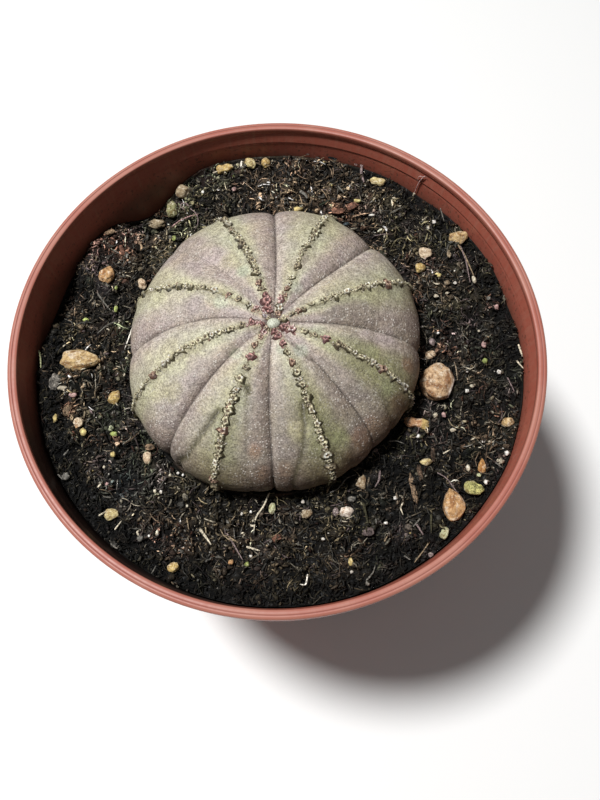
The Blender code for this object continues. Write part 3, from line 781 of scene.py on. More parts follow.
skinTints = {
    "crest": (0.415, 0.395, 0.280),
    "flank": (0.430, 0.385, 0.312),
    "mauve": (0.350, 0.288, 0.268),
    "shadyCrest": (0.195, 0.186, 0.104),
    "shadyMauve": (0.212, 0.177, 0.149),
    # Pale, painted as a highlight on a furrow's steep, lit side and on the lit left edge of the dome
    "edge": (0.50, 0.445, 0.39),
    "softSideShade": (0.210, 0.165, 0.145),
    "mint": (0.385, 0.415, 0.325),
    "lilac": (0.42, 0.35, 0.335),
    "khaki": (0.39, 0.355, 0.225),
    "green": (0.25, 0.265, 0.140),
    "darkGreen": (0.12, 0.12, 0.05),
    "brown": (0.115, 0.075, 0.045),
    "redBrown": (0.25, 0.155, 0.105),
    "cream": (0.52, 0.48, 0.37),
    "creaseShade": (0.034, 0.024, 0.020),
    "foldShade": (0.075, 0.066, 0.036),
    "ridge": (0.130, 0.105, 0.050),
    "rose": (0.30, 0.115, 0.105),
    "roseInk": (0.060, 0.028, 0.026),
}
# Patches of colour that the photograph shows: pixel of the middle, reach in pixels, tint and strength
seenPatches = (
    ((214, 258), 17, "lilac", 0.75), ((196, 272), 13, "lilac", 0.55), ((243, 272), 8, "mint", 0.80),
    ((221, 303), 9, "mint", 0.60), ((262, 262), 7, "mauve", 0.60), ((300, 262), 12, "mauve", 0.40),
    ((236, 353), 7, "mint", 0.70), ((301, 350), 8, "mint", 0.75), ((281, 350), 6, "mint", 0.55),
    ((297, 288), 8, "mint", 0.45), ((318, 331), 9, "mint", 0.40), ((232, 350), 8, "darkGreen", 0.25),
    ((170, 347), 12, "khaki", 0.55), ((160, 392), 14, "khaki", 0.45), ((205, 405), 10, "khaki", 0.40),
    ((198, 365), 11, "mauve", 0.65), ((186, 402), 12, "mauve", 0.70), ((255, 452), 8, "redBrown", 0.70),
    ((263, 473), 8, "redBrown", 0.60), ((285, 470), 9, "redBrown", 0.35), ((360, 440), 11, "redBrown", 0.65),
    ((372, 425), 9, "redBrown", 0.50), ((396, 402), 9, "brown", 0.70), ((389, 424), 9, "brown", 0.75),
    ((407, 366), 7, "redBrown", 0.75), ((350, 462), 11, "brown", 0.65), ((300, 436), 7, "darkGreen", 0.35),
    ((330, 345), 8, "green", 0.55), ((340, 440), 10, "green", 0.40), ((372, 352), 8, "green", 0.40),
    ((388, 388), 8, "green", 0.45), ((345, 378), 10, "mauve", 0.30), ((372, 250), 9, "cream", 0.35),
    ((352, 288), 7, "khaki", 0.40), ((384, 338), 12, "lilac", 0.75), ((350, 315), 16, "shadyMauve", 0.95),
    ((195, 306), 14, "mauve", 0.90), ((172, 392), 12, "khaki", 0.60), ((297, 430), 11, "khaki", 0.70),
    ((262, 330), 10, "khaki", 0.40), ((364, 333), 9, "lilac", 0.55), ((402, 346), 9, "mauve", 0.50),
    ((327, 372), 9, "shadyMauve", 0.35), ((232, 262), 13, "khaki", 0.45), ((296, 236), 12, "khaki", 0.35),
    ((178, 300), 16, "flank", 0.60), ((338, 315), 16, "shadyMauve", 0.95), ((362, 316), 16, "shadyMauve", 0.90),
    ((358, 354), 15, "shadyCrest", 0.55), ((332, 430), 13, "darkGreen", 0.30),
    ((172, 392), 14, "shadyCrest", 0.14), ((195, 306), 16, "shadyMauve", 0.12), ((138, 350), 13, "edge", 0.30),
    ((350, 315), 18, "brown", 0.14), ((390, 407), 9, "brown", 0.30), ((332, 262), 11, "mauve", 0.45),
)


# Broad colour of the skin: khaki along the crest and mauve towards the furrow, both with painted shade on the side
# away from the light, with patches, a painted highlight on a furrow's steep side, painted shade, partly a darker
# mauve, on its soft side, dark lines painted as shade in the furrows and folds, and a dark line along the crest
def skinColours(along, rib, share):
    t = skinTints
    along, rib, share = np.broadcast_arrays(along, rib, share)
    radius, azimuth, way, half = ribPlace(along, rib, share)
    which, steep = furrowOf(rib, share)
    x = np.abs(share)
    degrees = np.degrees(azimuth) % 360
    spot = np.stack((azimuth * 0.02, along * 0.7, rib * 0.1), axis=-1)
    broad = layeredNoise(spot, 0.0060, 51)
    fine = layeredNoise(spot, 0.0016, 52)
    shade = smoothStep(np.cos(np.radians(degrees - 305)), -0.30, 1.0) * smoothStep(along, 0.004, 0.020)
    crest = blendTints(t["crest"], t["shadyCrest"], shade)
    mauve = blendTints(t["mauve"], t["shadyMauve"], shade)
    flank = blendTints(t["flank"], t["shadyMauve"], shade)
    toFlank = smoothStep(x + 0.12 * broad + 0.06 * fine, 0.12, 0.74)
    colour = crest * (1 - toFlank)[..., None] + flank * toFlank[..., None]
    toMauve = smoothStep(x + 0.13 * broad + 0.08 * fine - 0.14 * steep, 0.38, 0.84)
    colour = colour * (1 - 0.9 * toMauve)[..., None] + mauve * (0.9 * toMauve)[..., None]
    colour = colour * (1 + 0.10 * layeredNoise(spot * (0.4, 1.0, 1.0), 0.0024, 55))[..., None]
    colour = colour * (1 + 0.10 * layeredNoise(spot, 0.0011, 56))[..., None]
    warm = layeredNoise(spot, 0.0036, 58)[..., None]
    colour = colour * (1 + warm * (0.05, 0.0, -0.07))
    level = np.stack(roundPlant(swollen(radius, azimuth), azimuth), axis=-1)
    middles = onPlant(np.array([patch[0] for patch in seenPatches], float))[0][:, :2]
    for (_, size, tint, strength), middle in zip(seenPatches, middles):
        away = np.linalg.norm(level - middle, axis=-1) / (size * pixelOnPlant)
        colour = blendTints(colour, t[tint], strength * smoothStep(away + 0.35 * fine + 0.25 * broad, 1.25, 0.45))
    depth = np.clip(np.array(plantShape["furrowDepths"])[which], 0, 1)
    wide = smoothStep(radius, 0.003, 0.014)
    # Painted shade on each furrow's soft side, which faces away from the light, partly also a darker mauve there
    paintedSoftShade = 0.42 * np.exp(-(((half - way) / 0.0014) ** 2)) * (1 - steep) / 2 * depth * wide
    colour = blendTints(colour, t["softSideShade"], paintedSoftShade)
    # Painted highlight: a pale band on each furrow's steep side, the side that faces the light
    paintedHighlight = smoothStep(half - way, 0.0001, 0.0004) * smoothStep(half - way, 0.0016, 0.0005)
    paintedHighlight = 0.55 * paintedHighlight * (steep > 0) * (1 - 0.5 * shade) * smoothStep(along, 0.003, 0.008)
    colour = blendTints(colour, t["edge"], paintedHighlight)
    low = smoothStep(along + 0.0015 * broad, soilLine - 0.0046, soilLine - 0.0006)
    colour = blendTints(colour, t["brown"], 0.75 * low)
    # Partly painted shade and partly the skin's own brown: the outer skin turns brown on the side away from the light
    outer = smoothStep(along, 0.0245, 0.0300) * smoothStep(np.cos(np.radians(degrees - 300)), -0.3, 0.6)
    colour = blendTints(colour, t["brown"], 0.50 * outer)
    # Painted shade: a thin dark line down the crease of each furrow
    creaseShade = np.array(plantShape["furrowShadeLines"])[which]
    late = np.where(which == 6, smoothStep(radius, 0.0095, 0.0110), 1.0)
    line = np.exp(-(((half - way) / (0.00014 + 0.00006 * broad)) ** 2)) * creaseShade * late * (0.6 + 0.4 * wide)
    colour = blendTints(colour, t["creaseShade"], 0.9 * line)
    # Painted shade: dark lines down the folds
    for fold, closeness in zip(seenFolds, foldShares(azimuth, radius)):
        colour = blendTints(colour, t["foldShade"], fold[3] * closeness**1.2)
    ridge = np.exp(-((way / (0.00034 + 0.00012 * fine)) ** 2)) * smoothStep(along, 0.002, 0.006)
    colour = blendTints(colour, t["ridge"], np.clip(0.62 + 0.5 * fine, 0, 1) * ridge)
    rosy = smoothStep(along, 0.0060, 0.0028) * smoothStep(x, 0.7, 0.3)
    colour = blendTints(colour, t["rose"], 0.45 * rosy * smoothStep(fine, -0.5, 0.3))
    colour = blendTints(colour, t["roseInk"], 0.85 * smoothStep(along, 0.0022, 0.0016))
    return colour, np.clip(toMauve * (1 - low), 0, 1)


# The skin: the broad tint, with pale and dark grains that are thicker on the mauve parts, fine cross lines
# and a few long pale scratches towards the top
def skinFinish():
    finish = Finish("plantSkin", 0.55)
    colour = finish.attribute("tint", 0)
    grainy = finish.attribute("grainy")
    place = finish.attribute("skinPlace", 1)
    wide = finish.objectPlace()
    cross = finish.noise(finish.stretched(place, (0.42, 2.6, 1.0)), 1.0, 3.0, 0.6)
    lengthwise = finish.noise(finish.stretched(place, (3.0, 0.32, 1.0)), 1.0, 2.0, 0.5)
    paleGrain = finish.cells(finish.stretched(place, (1.7, 1.9, 1.0)), 1.0).between(0.36, 0.17)
    darkGrain = finish.cells(finish.stretched(place, (1.6, 1.8, 1.0)), 1.1).between(0.33, 0.13)
    cloud = finish.noise(wide, 240.0, 3.0, 0.6)
    some = finish.noise(wide, 430.0, 3.0, 0.6)
    mottle = finish.noise(wide, 1000.0, 3.0, 0.65)
    grit = finish.noise(wide, 3300.0, 2.0, 0.6)
    for pattern, low, high, dark, light in (
        (mottle, 0.32, 0.68, (0.80, 0.785, 0.775), (1.16, 1.165, 1.16)),
        (grit, 0.34, 0.66, (0.66, 0.65, 0.64), (1.27, 1.27, 1.26)),
        (cloud, 0.35, 0.65, (0.94, 0.93, 0.95), (1.04, 1.05, 0.98)),
        (cross, 0.32, 0.68, (0.89, 0.88, 0.87), (1.07, 1.07, 1.07)),
    ):
        colour = finish.toned(colour, pattern, low, high, dark, light)
    scratches = lengthwise.between(0.63, 0.68) * some.between(0.46, 0.60)
    colour = finish.mix(scratches * 0.40, colour, (0.58, 0.56, 0.48))
    paleShare = 0.26 + grainy * 0.52
    colour = finish.mix(paleGrain * paleShare * some.between(0.34, 0.60), colour, (0.64, 0.59, 0.53))
    darkShare = 0.26 + grainy * 0.42
    colour = finish.mix(darkGrain * darkShare * some.between(0.64, 0.40), colour, (0.105, 0.085, 0.070))
    finish.set("Base Color", colour)
    finish.set("Roughness", 0.46 + 0.20 * cloud)
    finish.bump(cross * 0.3 + mottle * 0.6 + grit * 0.5 + paleGrain * grainy * 0.8 - darkGrain * 0.5, 0.00009, 0.9)
    return finish.material


# Places across a rib's side, closer together at the crest and at the furrow
def ribShares():
    count = plantShape["columnsPerSide"]
    even = np.linspace(-1.0, 1.0, 2 * count, endpoint=False)
    return even - 0.46 * np.sin(2 * math.pi * even) / (2 * math.pi)


# The plant: the skin's points from just below the top down to the root's tip, rib by rib and side by side
def makePlant(finish):
    p = plantShape
    shares = ribShares()
    share = np.tile(shares, len(p["crests"]))[None, :]
    rib = np.repeat(np.arange(len(p["crests"])), len(shares))[None, :]
    top = np.arange(0.0009, soilLine + 0.002, p["rowStep"])
    below = np.linspace(top[-1], outlineLength[-1], p["buriedRows"] + 1)[1:]
    along, rib, share = np.broadcast_arrays(np.concatenate((top, below))[:, None], rib, share)
    points = skinPoints(along, rib, share)
    tints, grainy = skinColours(along, rib, share)
    way = ribPlace(along, rib, share)[2] * np.where(share < 0, -1.0, 1.0)
    skinPlace = np.stack((way * 1000, along * 1000, rib * 9.0), axis=-1)
    rows, columns = way.shape
    tip = (p["x"], p["y"], outlineHeight[-1] - p["rootTipRadius"])
    crown = (p["x"], p["y"], p["equatorZ"] + p["domeHeight"])
    allPoints = np.concatenate((points.reshape(-1, 3), [crown, tip]))
    allTints = np.concatenate((tints.reshape(-1, 3), [skinTints["rose"], skinTints["brown"]]))
    allPlaces = np.concatenate((skinPlace.reshape(-1, 3), [(0, 0, 0), (0, 90, 0)]))
    allGrain = np.concatenate((grainy.ravel(), [0, 0]))
    faces = closedFaces(rows, columns, True)
    numbers = {"skinPlace": allPlaces, "grainy": allGrain}
    addPiece("plantBody", allPoints, faces, finish, ("baseball_plant",), allTints, numbers)


# Directions at places of the crests: out of the skin, along the crest and across it, by small steps
def skinFrames(along, rib, share):
    here = skinPoints(along, rib, share)
    ahead = skinPoints(along + 0.0004, rib, share) - skinPoints(along - 0.0004, rib, share)
    aside = skinPoints(along, rib, share + 0.06) - skinPoints(along, rib, share - 0.06)
    ahead /= np.linalg.norm(ahead, axis=-1, keepdims=True)
    out = np.cross(ahead, aside)
    out /= np.linalg.norm(out, axis=-1, keepdims=True)
    out *= np.where(out[..., 2:3] < 0, -1, 1)
    return here, out, ahead, np.cross(out, ahead)


# Pixels of the scars along each rib's crest
seenScars = (
    ((324, 299), (333, 295), (345, 292), (357, 291), (366, 288), (376, 286), (385, 286), (396, 285), (405, 286)),
    ((297, 267), (301, 256), (306, 248), (311, 242), (315, 236), (318, 229), (323, 223), (327, 217)),
    ((217, 218), (226, 224), (230, 229), (235, 236), (240, 241), (243, 247), (248, 254), (252, 263), (255, 268),
     (257, 275)),
    ((139, 298), (143, 294), (151, 291), (163, 289), (172, 288), (183, 287), (193, 288), (203, 289), (215, 292)),
    ((231, 330), (219, 333), (206, 336), (199, 341), (194, 344), (183, 352), (174, 357), (166, 364), (155, 374),
     (145, 383), (140, 394), (136, 400)),
    ((237, 391), (234, 399), (231, 405), (229, 412), (227, 421), (224, 431), (222, 438), (221, 447), (219, 454),
     (217, 461), (216, 469), (215, 476)),
    ((302, 386), (306, 400), (311, 411), (316, 424), (320, 438), (323, 444), (326, 453), (329, 464), (331, 473)),
    ((338, 345), (348, 350), (360, 358), (371, 364), (381, 370), (391, 377), (402, 385), (408, 395)),
)
# Scars near the top and other ones that stand out: pixel, size in pixels and tint
seenTopScars = (
    ((258.3, 284.0), 8, "rust"), ((261.7, 289.6), 7, "dark"), ((266.4, 295.6), 9, "rose"),
    ((266.9, 301.2), 11, "rose"), ((267.6, 306.6), 9, "rose"), ((269.4, 311.0), 7, "rose"),
    ((264.0, 311.7), 6, "pink"), ((265.6, 316.0), 6, "mauve"), ((256.0, 308.0), 7, "pink"),
    ((253.3, 311.5), 5, "rust"), ((249.0, 305.0), 7, "cream"), ((238.3, 300.5), 7, "dark"),
    ((228.3, 296.2), 7, "rust"), ((251.5, 323.3), 8, "rose"), ((257.0, 322.8), 7, "pink"),
    ((262.2, 324.0), 7, "rose"), ((265.8, 328.4), 5, "rust"), ((241.7, 325.0), 7, "dark"),
    ((263.9, 332.2), 7, "pink"), ((261.0, 338.0), 7, "rust"), ((255.0, 346.2), 8, "rust"),
    ((250.0, 357.6), 10, "rose"), ((245.4, 368.6), 7, "dark"), ((240.0, 379.4), 9, "cream"),
    ((275.0, 331.0), 7, "rose"), ((278.3, 336.2), 9, "rose"), ((282.4, 343.9), 8, "rose"),
    ((287.2, 352.8), 7, "cream"), ((292.2, 362.4), 8, "rust"), ((296.8, 373.4), 9, "cream"),
    ((299.6, 380.0), 6, "pale"), ((283.9, 327.4), 8, "rose"), ((287.5, 325.0), 6, "pink"),
    ((292.0, 329.2), 9, "pink"), ((304.4, 331.9), 8, "cream"), ((314.5, 335.4), 7, "dark"),
    ((325.4, 339.4), 9, "rose"), ((283.9, 319.2), 8, "cream"), ((291.4, 314.4), 6, "dark"),
    ((298.3, 311.2), 7, "rust"), ((303.4, 309.6), 6, "dark"), ((312.0, 304.8), 7, "cream"),
    ((279.8, 307.8), 9, "pale"), ((278.3, 313.9), 7, "rust"), ((280.8, 300.0), 8, "pink"),
    ((285.0, 295.4), 6, "rust"), ((286.7, 289.4), 7, "rust"), ((289.4, 285.0), 6, "cream"),
    ((291.6, 278.6), 7, "cream"), ((268.6, 318.4), 5, "dark"), ((280.6, 320.0), 5, "dark"),
    ((271.4, 330.4), 5, "dark"), ((268.0, 326.6), 5, "rust"), ((277.4, 327.2), 5, "rust"),
)
beadShape = {
    "seed": 7,
    "sides": 12,
    "defaultSize": 8.4,
    "heightShare": 0.80,
    # Share of the radius and of the height of each ring, from the foot over the rim into the scar's hollow
    "profile": ((1.42, -0.60), (1.08, 0.10), (0.90, 0.70), (0.62, 1.0), (0.38, 0.62), (0.16, 0.48)),
    "lobes": 0.22,
    "rough": 0.17,
    "widestGap": 0.00115,
    "middleShare": 0.68,
    "bitsPerBead": 3,
    "bitRadius": (0.00011, 0.00026),
    "highest": 0.0988,
}
# Foot, rim and hollow of each kind of scar; the dark foot is painted shade round the knob's base
beadTints = {
    "cream": ((0.045, 0.037, 0.016), (0.74, 0.67, 0.45), (0.070, 0.040, 0.018)),
    "pale": ((0.070, 0.056, 0.030), (0.86, 0.82, 0.66), (0.280, 0.190, 0.110)),
    "rose": ((0.085, 0.034, 0.031), (0.46, 0.245, 0.220), (0.060, 0.018, 0.018)),
    "pink": ((0.110, 0.050, 0.045), (0.74, 0.52, 0.47), (0.150, 0.050, 0.048)),
    "rust": ((0.070, 0.034, 0.022), (0.50, 0.345, 0.245), (0.060, 0.020, 0.014)),
    "dark": ((0.055, 0.042, 0.024), (0.46, 0.385, 0.250), (0.030, 0.018, 0.012)),
    "mauve": ((0.085, 0.065, 0.065), (0.60, 0.52, 0.52), (0.110, 0.070, 0.078)),
}


# Raised scars: at each place a low knob of three to five lobes around a hollow, its rings turned on the skin's
# own directions; a number for each corner says how far up a lobe it is
def beadRings(here, out, ahead, aside, radius, height, draw):
    b = beadShape
    turn = np.linspace(0, 2 * math.pi, b["sides"], endpoint=False)
    rings = np.array(b["profile"])
    count = len(here)
    lobes = np.cos(draw.integers(3, 6, (count, 1, 1)) * turn + draw.uniform(0, 2 * math.pi, (count, 1, 1)))
    lobes = lobes + 0.5 * draw.standard_normal((count, 1, b["sides"]))
    push = 1 + b["lobes"] * lobes * 0.6 + b["rough"] * draw.standard_normal((count, 1, b["sides"]))
    push = np.clip(push, 0.55, 1.5)
    stretch = draw.uniform(0.82, 1.2, (count, 1, 1))
    flatA = np.cos(turn) * rings[:, 0:1] * radius[:, None, None] * push * stretch
    flatB = np.sin(turn) * rings[:, 0:1] * radius[:, None, None] * push / stretch
    lean = draw.uniform(-0.25, 0.25, (count, 2))
    rise = 0.86 + b["lobes"] * lobes + b["rough"] * draw.standard_normal((count, len(rings), b["sides"]))
    rise = rings[:, 1:2] * height[:, None, None] * np.clip(rise, 0.35, 1.3)
    rise = rise + (flatA * lean[:, 0, None, None] + flatB * lean[:, 1, None, None]) * (rings[:, 1:2] > 0)
    grid = (here[:, None, None, :] + flatA[..., None] * ahead[:, None, None, :]
            + flatB[..., None] * aside[:, None, None, :] + rise[..., None] * out[:, None, None, :])
    middle = here + out * (height * 0.45)[:, None]
    grid[..., 2] = np.minimum(grid[..., 2], b["highest"])
    middle[:, 2] = np.minimum(middle[:, 2], b["highest"])
    return grid, middle, np.clip(0.5 + 0.5 * lobes, 0, 1)


# An angle brought between minus and plus half a turn
def halfTurn(angle):
    return (angle + math.pi) % (2 * math.pi) - math.pi


# Where the scars sit: along the outline, number of the rib, share of its side, radius and kind
def scarPlaces(draw):
    b = beadShape
    p = plantShape
    ribs = np.arange(len(p["crests"]))
    kinds = list(beadTints)
    rows = []
    for rib, pixels in enumerate(seenScars):
        _, azimuth, radius, along = onPlant(np.array(pixels, float))
        turned = azimuth - lineAzimuth(p["crests"], np.full(len(along), rib), radius)
        way = np.clip(halfTurn(turned) * radius, -0.0005, 0.0005)
        gaps = np.abs(np.diff(along)) > b["widestGap"]
        middles = ((along[1:] + along[:-1]) / 2)[gaps]
        middleWays = ((way[1:] + way[:-1]) / 2)[gaps]
        more = np.arange(along.max() + p["beadPitch"], soilLine + 0.001, p["beadPitch"])
        along = np.concatenate((along, more + draw.uniform(-0.0003, 0.0003, len(more)), middles))
        way = np.concatenate((way, draw.uniform(-0.0002, 0.0002, len(more)), middleWays))
        size = b["defaultSize"] * draw.uniform(0.88, 1.15, len(along))
        size[len(along) - len(middles):] *= b["middleShare"]
        kind = draw.choice([0, 1, 4, 5], len(along), p=[0.66, 0.16, 0.03, 0.15])
        rows.append(np.stack((along, np.full(len(along), rib), way, size, kind), axis=1))
    pixels = np.array([scar[0] for scar in seenTopScars], float)
    _, azimuth, radius, along = onPlant(pixels)
    turned = halfTurn(azimuth[:, None] - lineAzimuth(p["crests"], ribs[None, :], radius[:, None]))
    rib = np.abs(turned).argmin(axis=1)
    way = turned[np.arange(len(rib)), rib] * radius
    size = [scar[1] for scar in seenTopScars]
    kind = [kinds.index(scar[2]) for scar in seenTopScars]
    rows.append(np.stack((along, rib, way, size, kind), axis=1))
    table = np.concatenate(rows)
    table[:, 3] *= pixelOnPlant / 2 / 1.15
    # Bits beside the scars: crumbs of cork and dots
    bits = np.repeat(table, b["bitsPerBead"], axis=0)
    count = len(bits)
    bits[:, 0] += draw.choice([-1, 1], count) * draw.uniform(0.6, 1.5, count) * bits[:, 3]
    bits[:, 2] += draw.uniform(-1.3, 1.3, count) * bits[:, 3]
    rosy = np.isin(bits[:, 4], [2, 3])
    plain = draw.choice([0, 1, 4, 5], count, p=[0.48, 0.28, 0.05, 0.19])
    bits[:, 4] = np.where(rosy, draw.choice([2, 3, 4], count, p=[0.45, 0.35, 0.20]), plain)
    bits[:, 3] = sizesBetween(b["bitRadius"], draw.random(count))
    bits = bits[bits[:, 0] > 0.0016]
    table = np.concatenate((table, bits))
    along, rib, way = table[:, 0], table[:, 1].astype(int), table[:, 2]
    half = ribPlace(along, rib, np.where(way < 0, -0.1, 0.1))[3]
    return along, rib, np.clip(way / half, -0.85, 0.85), table[:, 3], table[:, 4].astype(int)


# The scars: a knob at each place, dark at its foot with painted shade, pale on the lobes of its rim and dark in its
# hollow
def makeBeads(finish):
    draw = np.random.default_rng(beadShape["seed"])
    along, rib, share, radius, kind = scarPlaces(draw)
    here, out, ahead, aside = skinFrames(along, rib, share)
    height = radius * beadShape["heightShare"] * draw.uniform(0.75, 1.15, len(radius))
    grid, middle, lobes = beadRings(here, out, ahead, aside, radius, height, draw)
    count, rings, sides, _ = grid.shape
    baseShade, rim, hollow = np.array([beadTints[name] for name in beadTints])[kind].transpose(1, 0, 2)
    rim = rim * draw.uniform(0.75, 1.25, (count, 1))
    low = (2 * baseShade + rim) / 3
    # Painted shade: the two lowest rings take the dark foot tint
    tints = np.stack((baseShade, baseShade, low, rim, (hollow + low) / 2, hollow), axis=1)[:, :, None, :]
    tints = tints * np.ones((1, 1, sides, 1))
    onRim = np.array((0.0, 0.0, 0.7, 1.0, 0.5, 0.0))[None, :, None, None]
    tints = tints * (1 - onRim * (1 - 0.34 - 1.05 * lobes[..., None] ** 1.3))
    tints = np.clip(tints * np.exp(0.34 * draw.standard_normal((count, rings, sides, 1))), 0.004, 0.92)
    perBead = rings * sides
    first = np.arange(count)[:, None, None] * perBead
    quads = (gridFaces(rings, sides)[None] + first).reshape(-1, 4)
    top = count * perBead + np.arange(count)
    ring = (np.arange(sides) + (rings - 1) * sides)[None] + first[:, :, 0]
    fans = np.stack((np.repeat(top[:, None], sides, axis=1), ring, np.roll(ring, -1, axis=1)), axis=-1)
    points = np.concatenate((grid.reshape(-1, 3), middle))
    allTints = np.concatenate((tints.reshape(-1, 3), hollow))
    faces = [quads, fans.reshape(-1, 3)]
    addPiece("leafScars", points, faces, finish, ("baseball_plant",), allTints)


budShape = {
    "x": 0.0001,
    "y": -0.00028,
    "length": 0.00136,
    "width": 0.00115,
    "height": 0.00110,
    "turn": 8.0,
    "downTo": 125,         # degrees from the bud's top
    "rows": 14,
    "columns": 28,
    "tint": (0.52, 0.54, 0.44),
    "topTint": (0.54, 0.56, 0.46),
    "budFootShade": (0.10, 0.06, 0.045),
}


# The bud: an egg with three faint folds, sunk by a third into the top
def makeBud(finish):
    b = budShape
    p = plantShape
    polar = np.linspace(0.0, math.radians(b["downTo"]), b["rows"])[1:, None]
    around = np.linspace(0, 2 * math.pi, b["columns"], endpoint=False)[None, :]
    fold = 1 - 0.05 * np.abs(np.sin(1.5 * around + 0.4)) ** 0.5
    x = b["length"] * np.sin(polar) * np.cos(around) * fold
    y = b["width"] * np.sin(polar) * np.sin(around) * fold
    z = b["height"] * np.cos(polar) * (1 - 0.04 * np.cos(3 * around + 1)) * np.ones_like(around)
    x, y = turnedBy(math.radians(b["turn"]), x, y)
    top = p["equatorZ"] + p["domeHeight"]
    middleX, middleY = p["x"] + b["x"], p["y"] + b["y"]
    grid = np.stack((middleX + x, middleY + y, top + z), axis=-1)
    rows, columns, _ = grid.shape
    ends = [(middleX, middleY, top + b["height"]), grid[-1].mean(axis=0)]
    points = np.concatenate((grid.reshape(-1, 3), ends))
    # Painted shade: the bud darkens towards its foot, where it sinks into the top
    shade = smoothStep(polar, math.radians(62), math.radians(95)) * np.ones_like(around)
    tints = blendTints(b["tint"], b["budFootShade"], shade)
    tints = np.concatenate((tints.reshape(-1, 3), [b["topTint"], b["budFootShade"]]))
    faces = closedFaces(rows, columns, True)
    addPiece("plantBud", points, faces, finish, ("baseball_plant",), tints)


# Corky scars and the bud: the tint, broken up by fine noise
def scarFinish():
    finish = Finish("corkyScars", 0.5)
    place = finish.objectPlace()
    grain = finish.noise(place, 3800.0, 2.0, 0.6)
    tint = finish.attribute("tint", 0)
    finish.set("Base Color", finish.toned(tint, grain, 0.3, 0.7, (0.62, 0.60, 0.57), (1.25, 1.25, 1.25)))
    finish.set("Roughness", 0.42 + 0.3 * grain)
    finish.bump(grain, 0.00006, 0.8)
    return finish.material


# Lengths of the potting soil, in metres, and azimuths in degrees
soilShape = {
    "level": 0.0822,
    "rise": 0.0006,
    "lumpSeed": 11,
    "lumps": 90,
    "lumpHeight": 0.0012,
    "lumpReach": (0.0030, 0.0065),
    "brimReach": 0.0484,
    "brimSlope": 0.0024,
    "edgeDrop": 0.0025,
    "edgeFrom": 140.0,
    "edgeTo": 250.0,
    "edgeFade": 12.0,
    "bayAzimuth": 123.5,
    "baySpread": 11.5,
    "bayWidth": 0.0094,
    "bayDrop": 0.0070,
    "bayDropSpread": 10.0,
    "smallBayAzimuth": 160.0,
    "smallBaySpread": 8.0,
    "smallBayWidth": 0.0045,
    "wallGap": 0.00035,
    "plantGap": 0.0005,
    "floorGap": 0.0003,
    "columns": 560,
    "rows": 104,
}


# Height of the soil: a level with seeded lumps, less the drop and the bay along the wall
def soilHeight(x, y):
    s = soilShape
    reach = np.hypot(x, y)
    azimuth = np.degrees(np.arctan2(y, x)) % 360
    draw = np.random.default_rng(s["lumpSeed"])
    z = s["level"] + s["rise"] * x / potShape["lipRadius"]
    for _ in range(s["lumps"]):
        lumpReach = potShape["lipRadius"] * math.sqrt(draw.random())
        lumpAzimuth = 2 * math.pi * draw.random()
        size = draw.uniform(*s["lumpReach"])
        height = draw.uniform(-s["lumpHeight"], s["lumpHeight"])
        away = np.hypot(x - lumpReach * math.cos(lumpAzimuth), y - lumpReach * math.sin(lumpAzimuth))
        z = z + height * np.exp(-((away / size) ** 2))
    bay = np.exp(-(((azimuth - s["bayAzimuth"]) / s["baySpread"]) ** 4))
    smallBay = np.exp(-(((azimuth - s["smallBayAzimuth"]) / s["smallBaySpread"]) ** 2))
    brim = s["brimReach"] - s["bayWidth"] * bay - s["smallBayWidth"] * smallBay
    start = smoothStep((azimuth - s["edgeFrom"]) / s["edgeFade"] + 0.5)
    end = smoothStep((s["edgeTo"] - azimuth) / s["edgeFade"] + 0.5)
    bayDrop = s["bayDrop"] * np.exp(-(((azimuth - s["bayAzimuth"]) / s["bayDropSpread"]) ** 2))
    return z - (s["edgeDrop"] * start * end + bayDrop) * smoothStep((reach - brim) / s["brimSlope"])


# The crumbly surface: the soil's height with rounded clods of two sizes, cracks and fine unevenness
def soilSurface(x, y):
    spot = np.stack(np.broadcast_arrays(x, y, 0.0), axis=-1)
    bent = spot + 0.0008 * np.stack([softNoise(spot, 0.002, seed) for seed in (57, 58, 59)], axis=-1)
    clods = 0.5 - cellNoise(bent, 0.0040, 61)
    crumbs = 0.5 - cellNoise(bent, 0.0013, 65)
    fine = layeredNoise(spot, 0.0011, 69)
    return soilHeight(x, y) + 0.0022 * clods + 0.0009 * crumbs + 0.00035 * fine - 0.0004


# Reach of the plant's side from its own axis at the soil, with its swells and a clearance
def plantReach(azimuth, clearance):
    return swollen(np.interp(soilLine, outlineLength, outlineRadius), azimuth) + clearance


# Litter drawn clear of the pot's wall and pushed clear of the plant's side
def clearOfPotAndPlant(points, gap=0.00025):
    p = plantShape
    points = np.array(points, float)
    reach = np.maximum(np.hypot(points[..., 0], points[..., 1]), 1e-6)
    shrink = np.minimum(1.0, (wallRadius(points[..., 2]) - gap) / reach)
    points[..., :2] *= shrink[..., None]
    dx, dy = points[..., 0] - p["x"], points[..., 1] - p["y"]
    depth = np.clip((p["equatorZ"] - points[..., 2]) / p["lowerDepth"], 0.0, 0.9)
    radius = (p["equatorRadius"] + planSwell(np.arctan2(dy, dx))) * np.sqrt(1 - depth**2) + gap
    away = np.maximum(np.hypot(dx, dy), 1e-6)
    grow = np.maximum(1.0, radius / away)
    points[..., 0] = p["x"] + dx * grow
    points[..., 1] = p["y"] + dy * grow
    return points


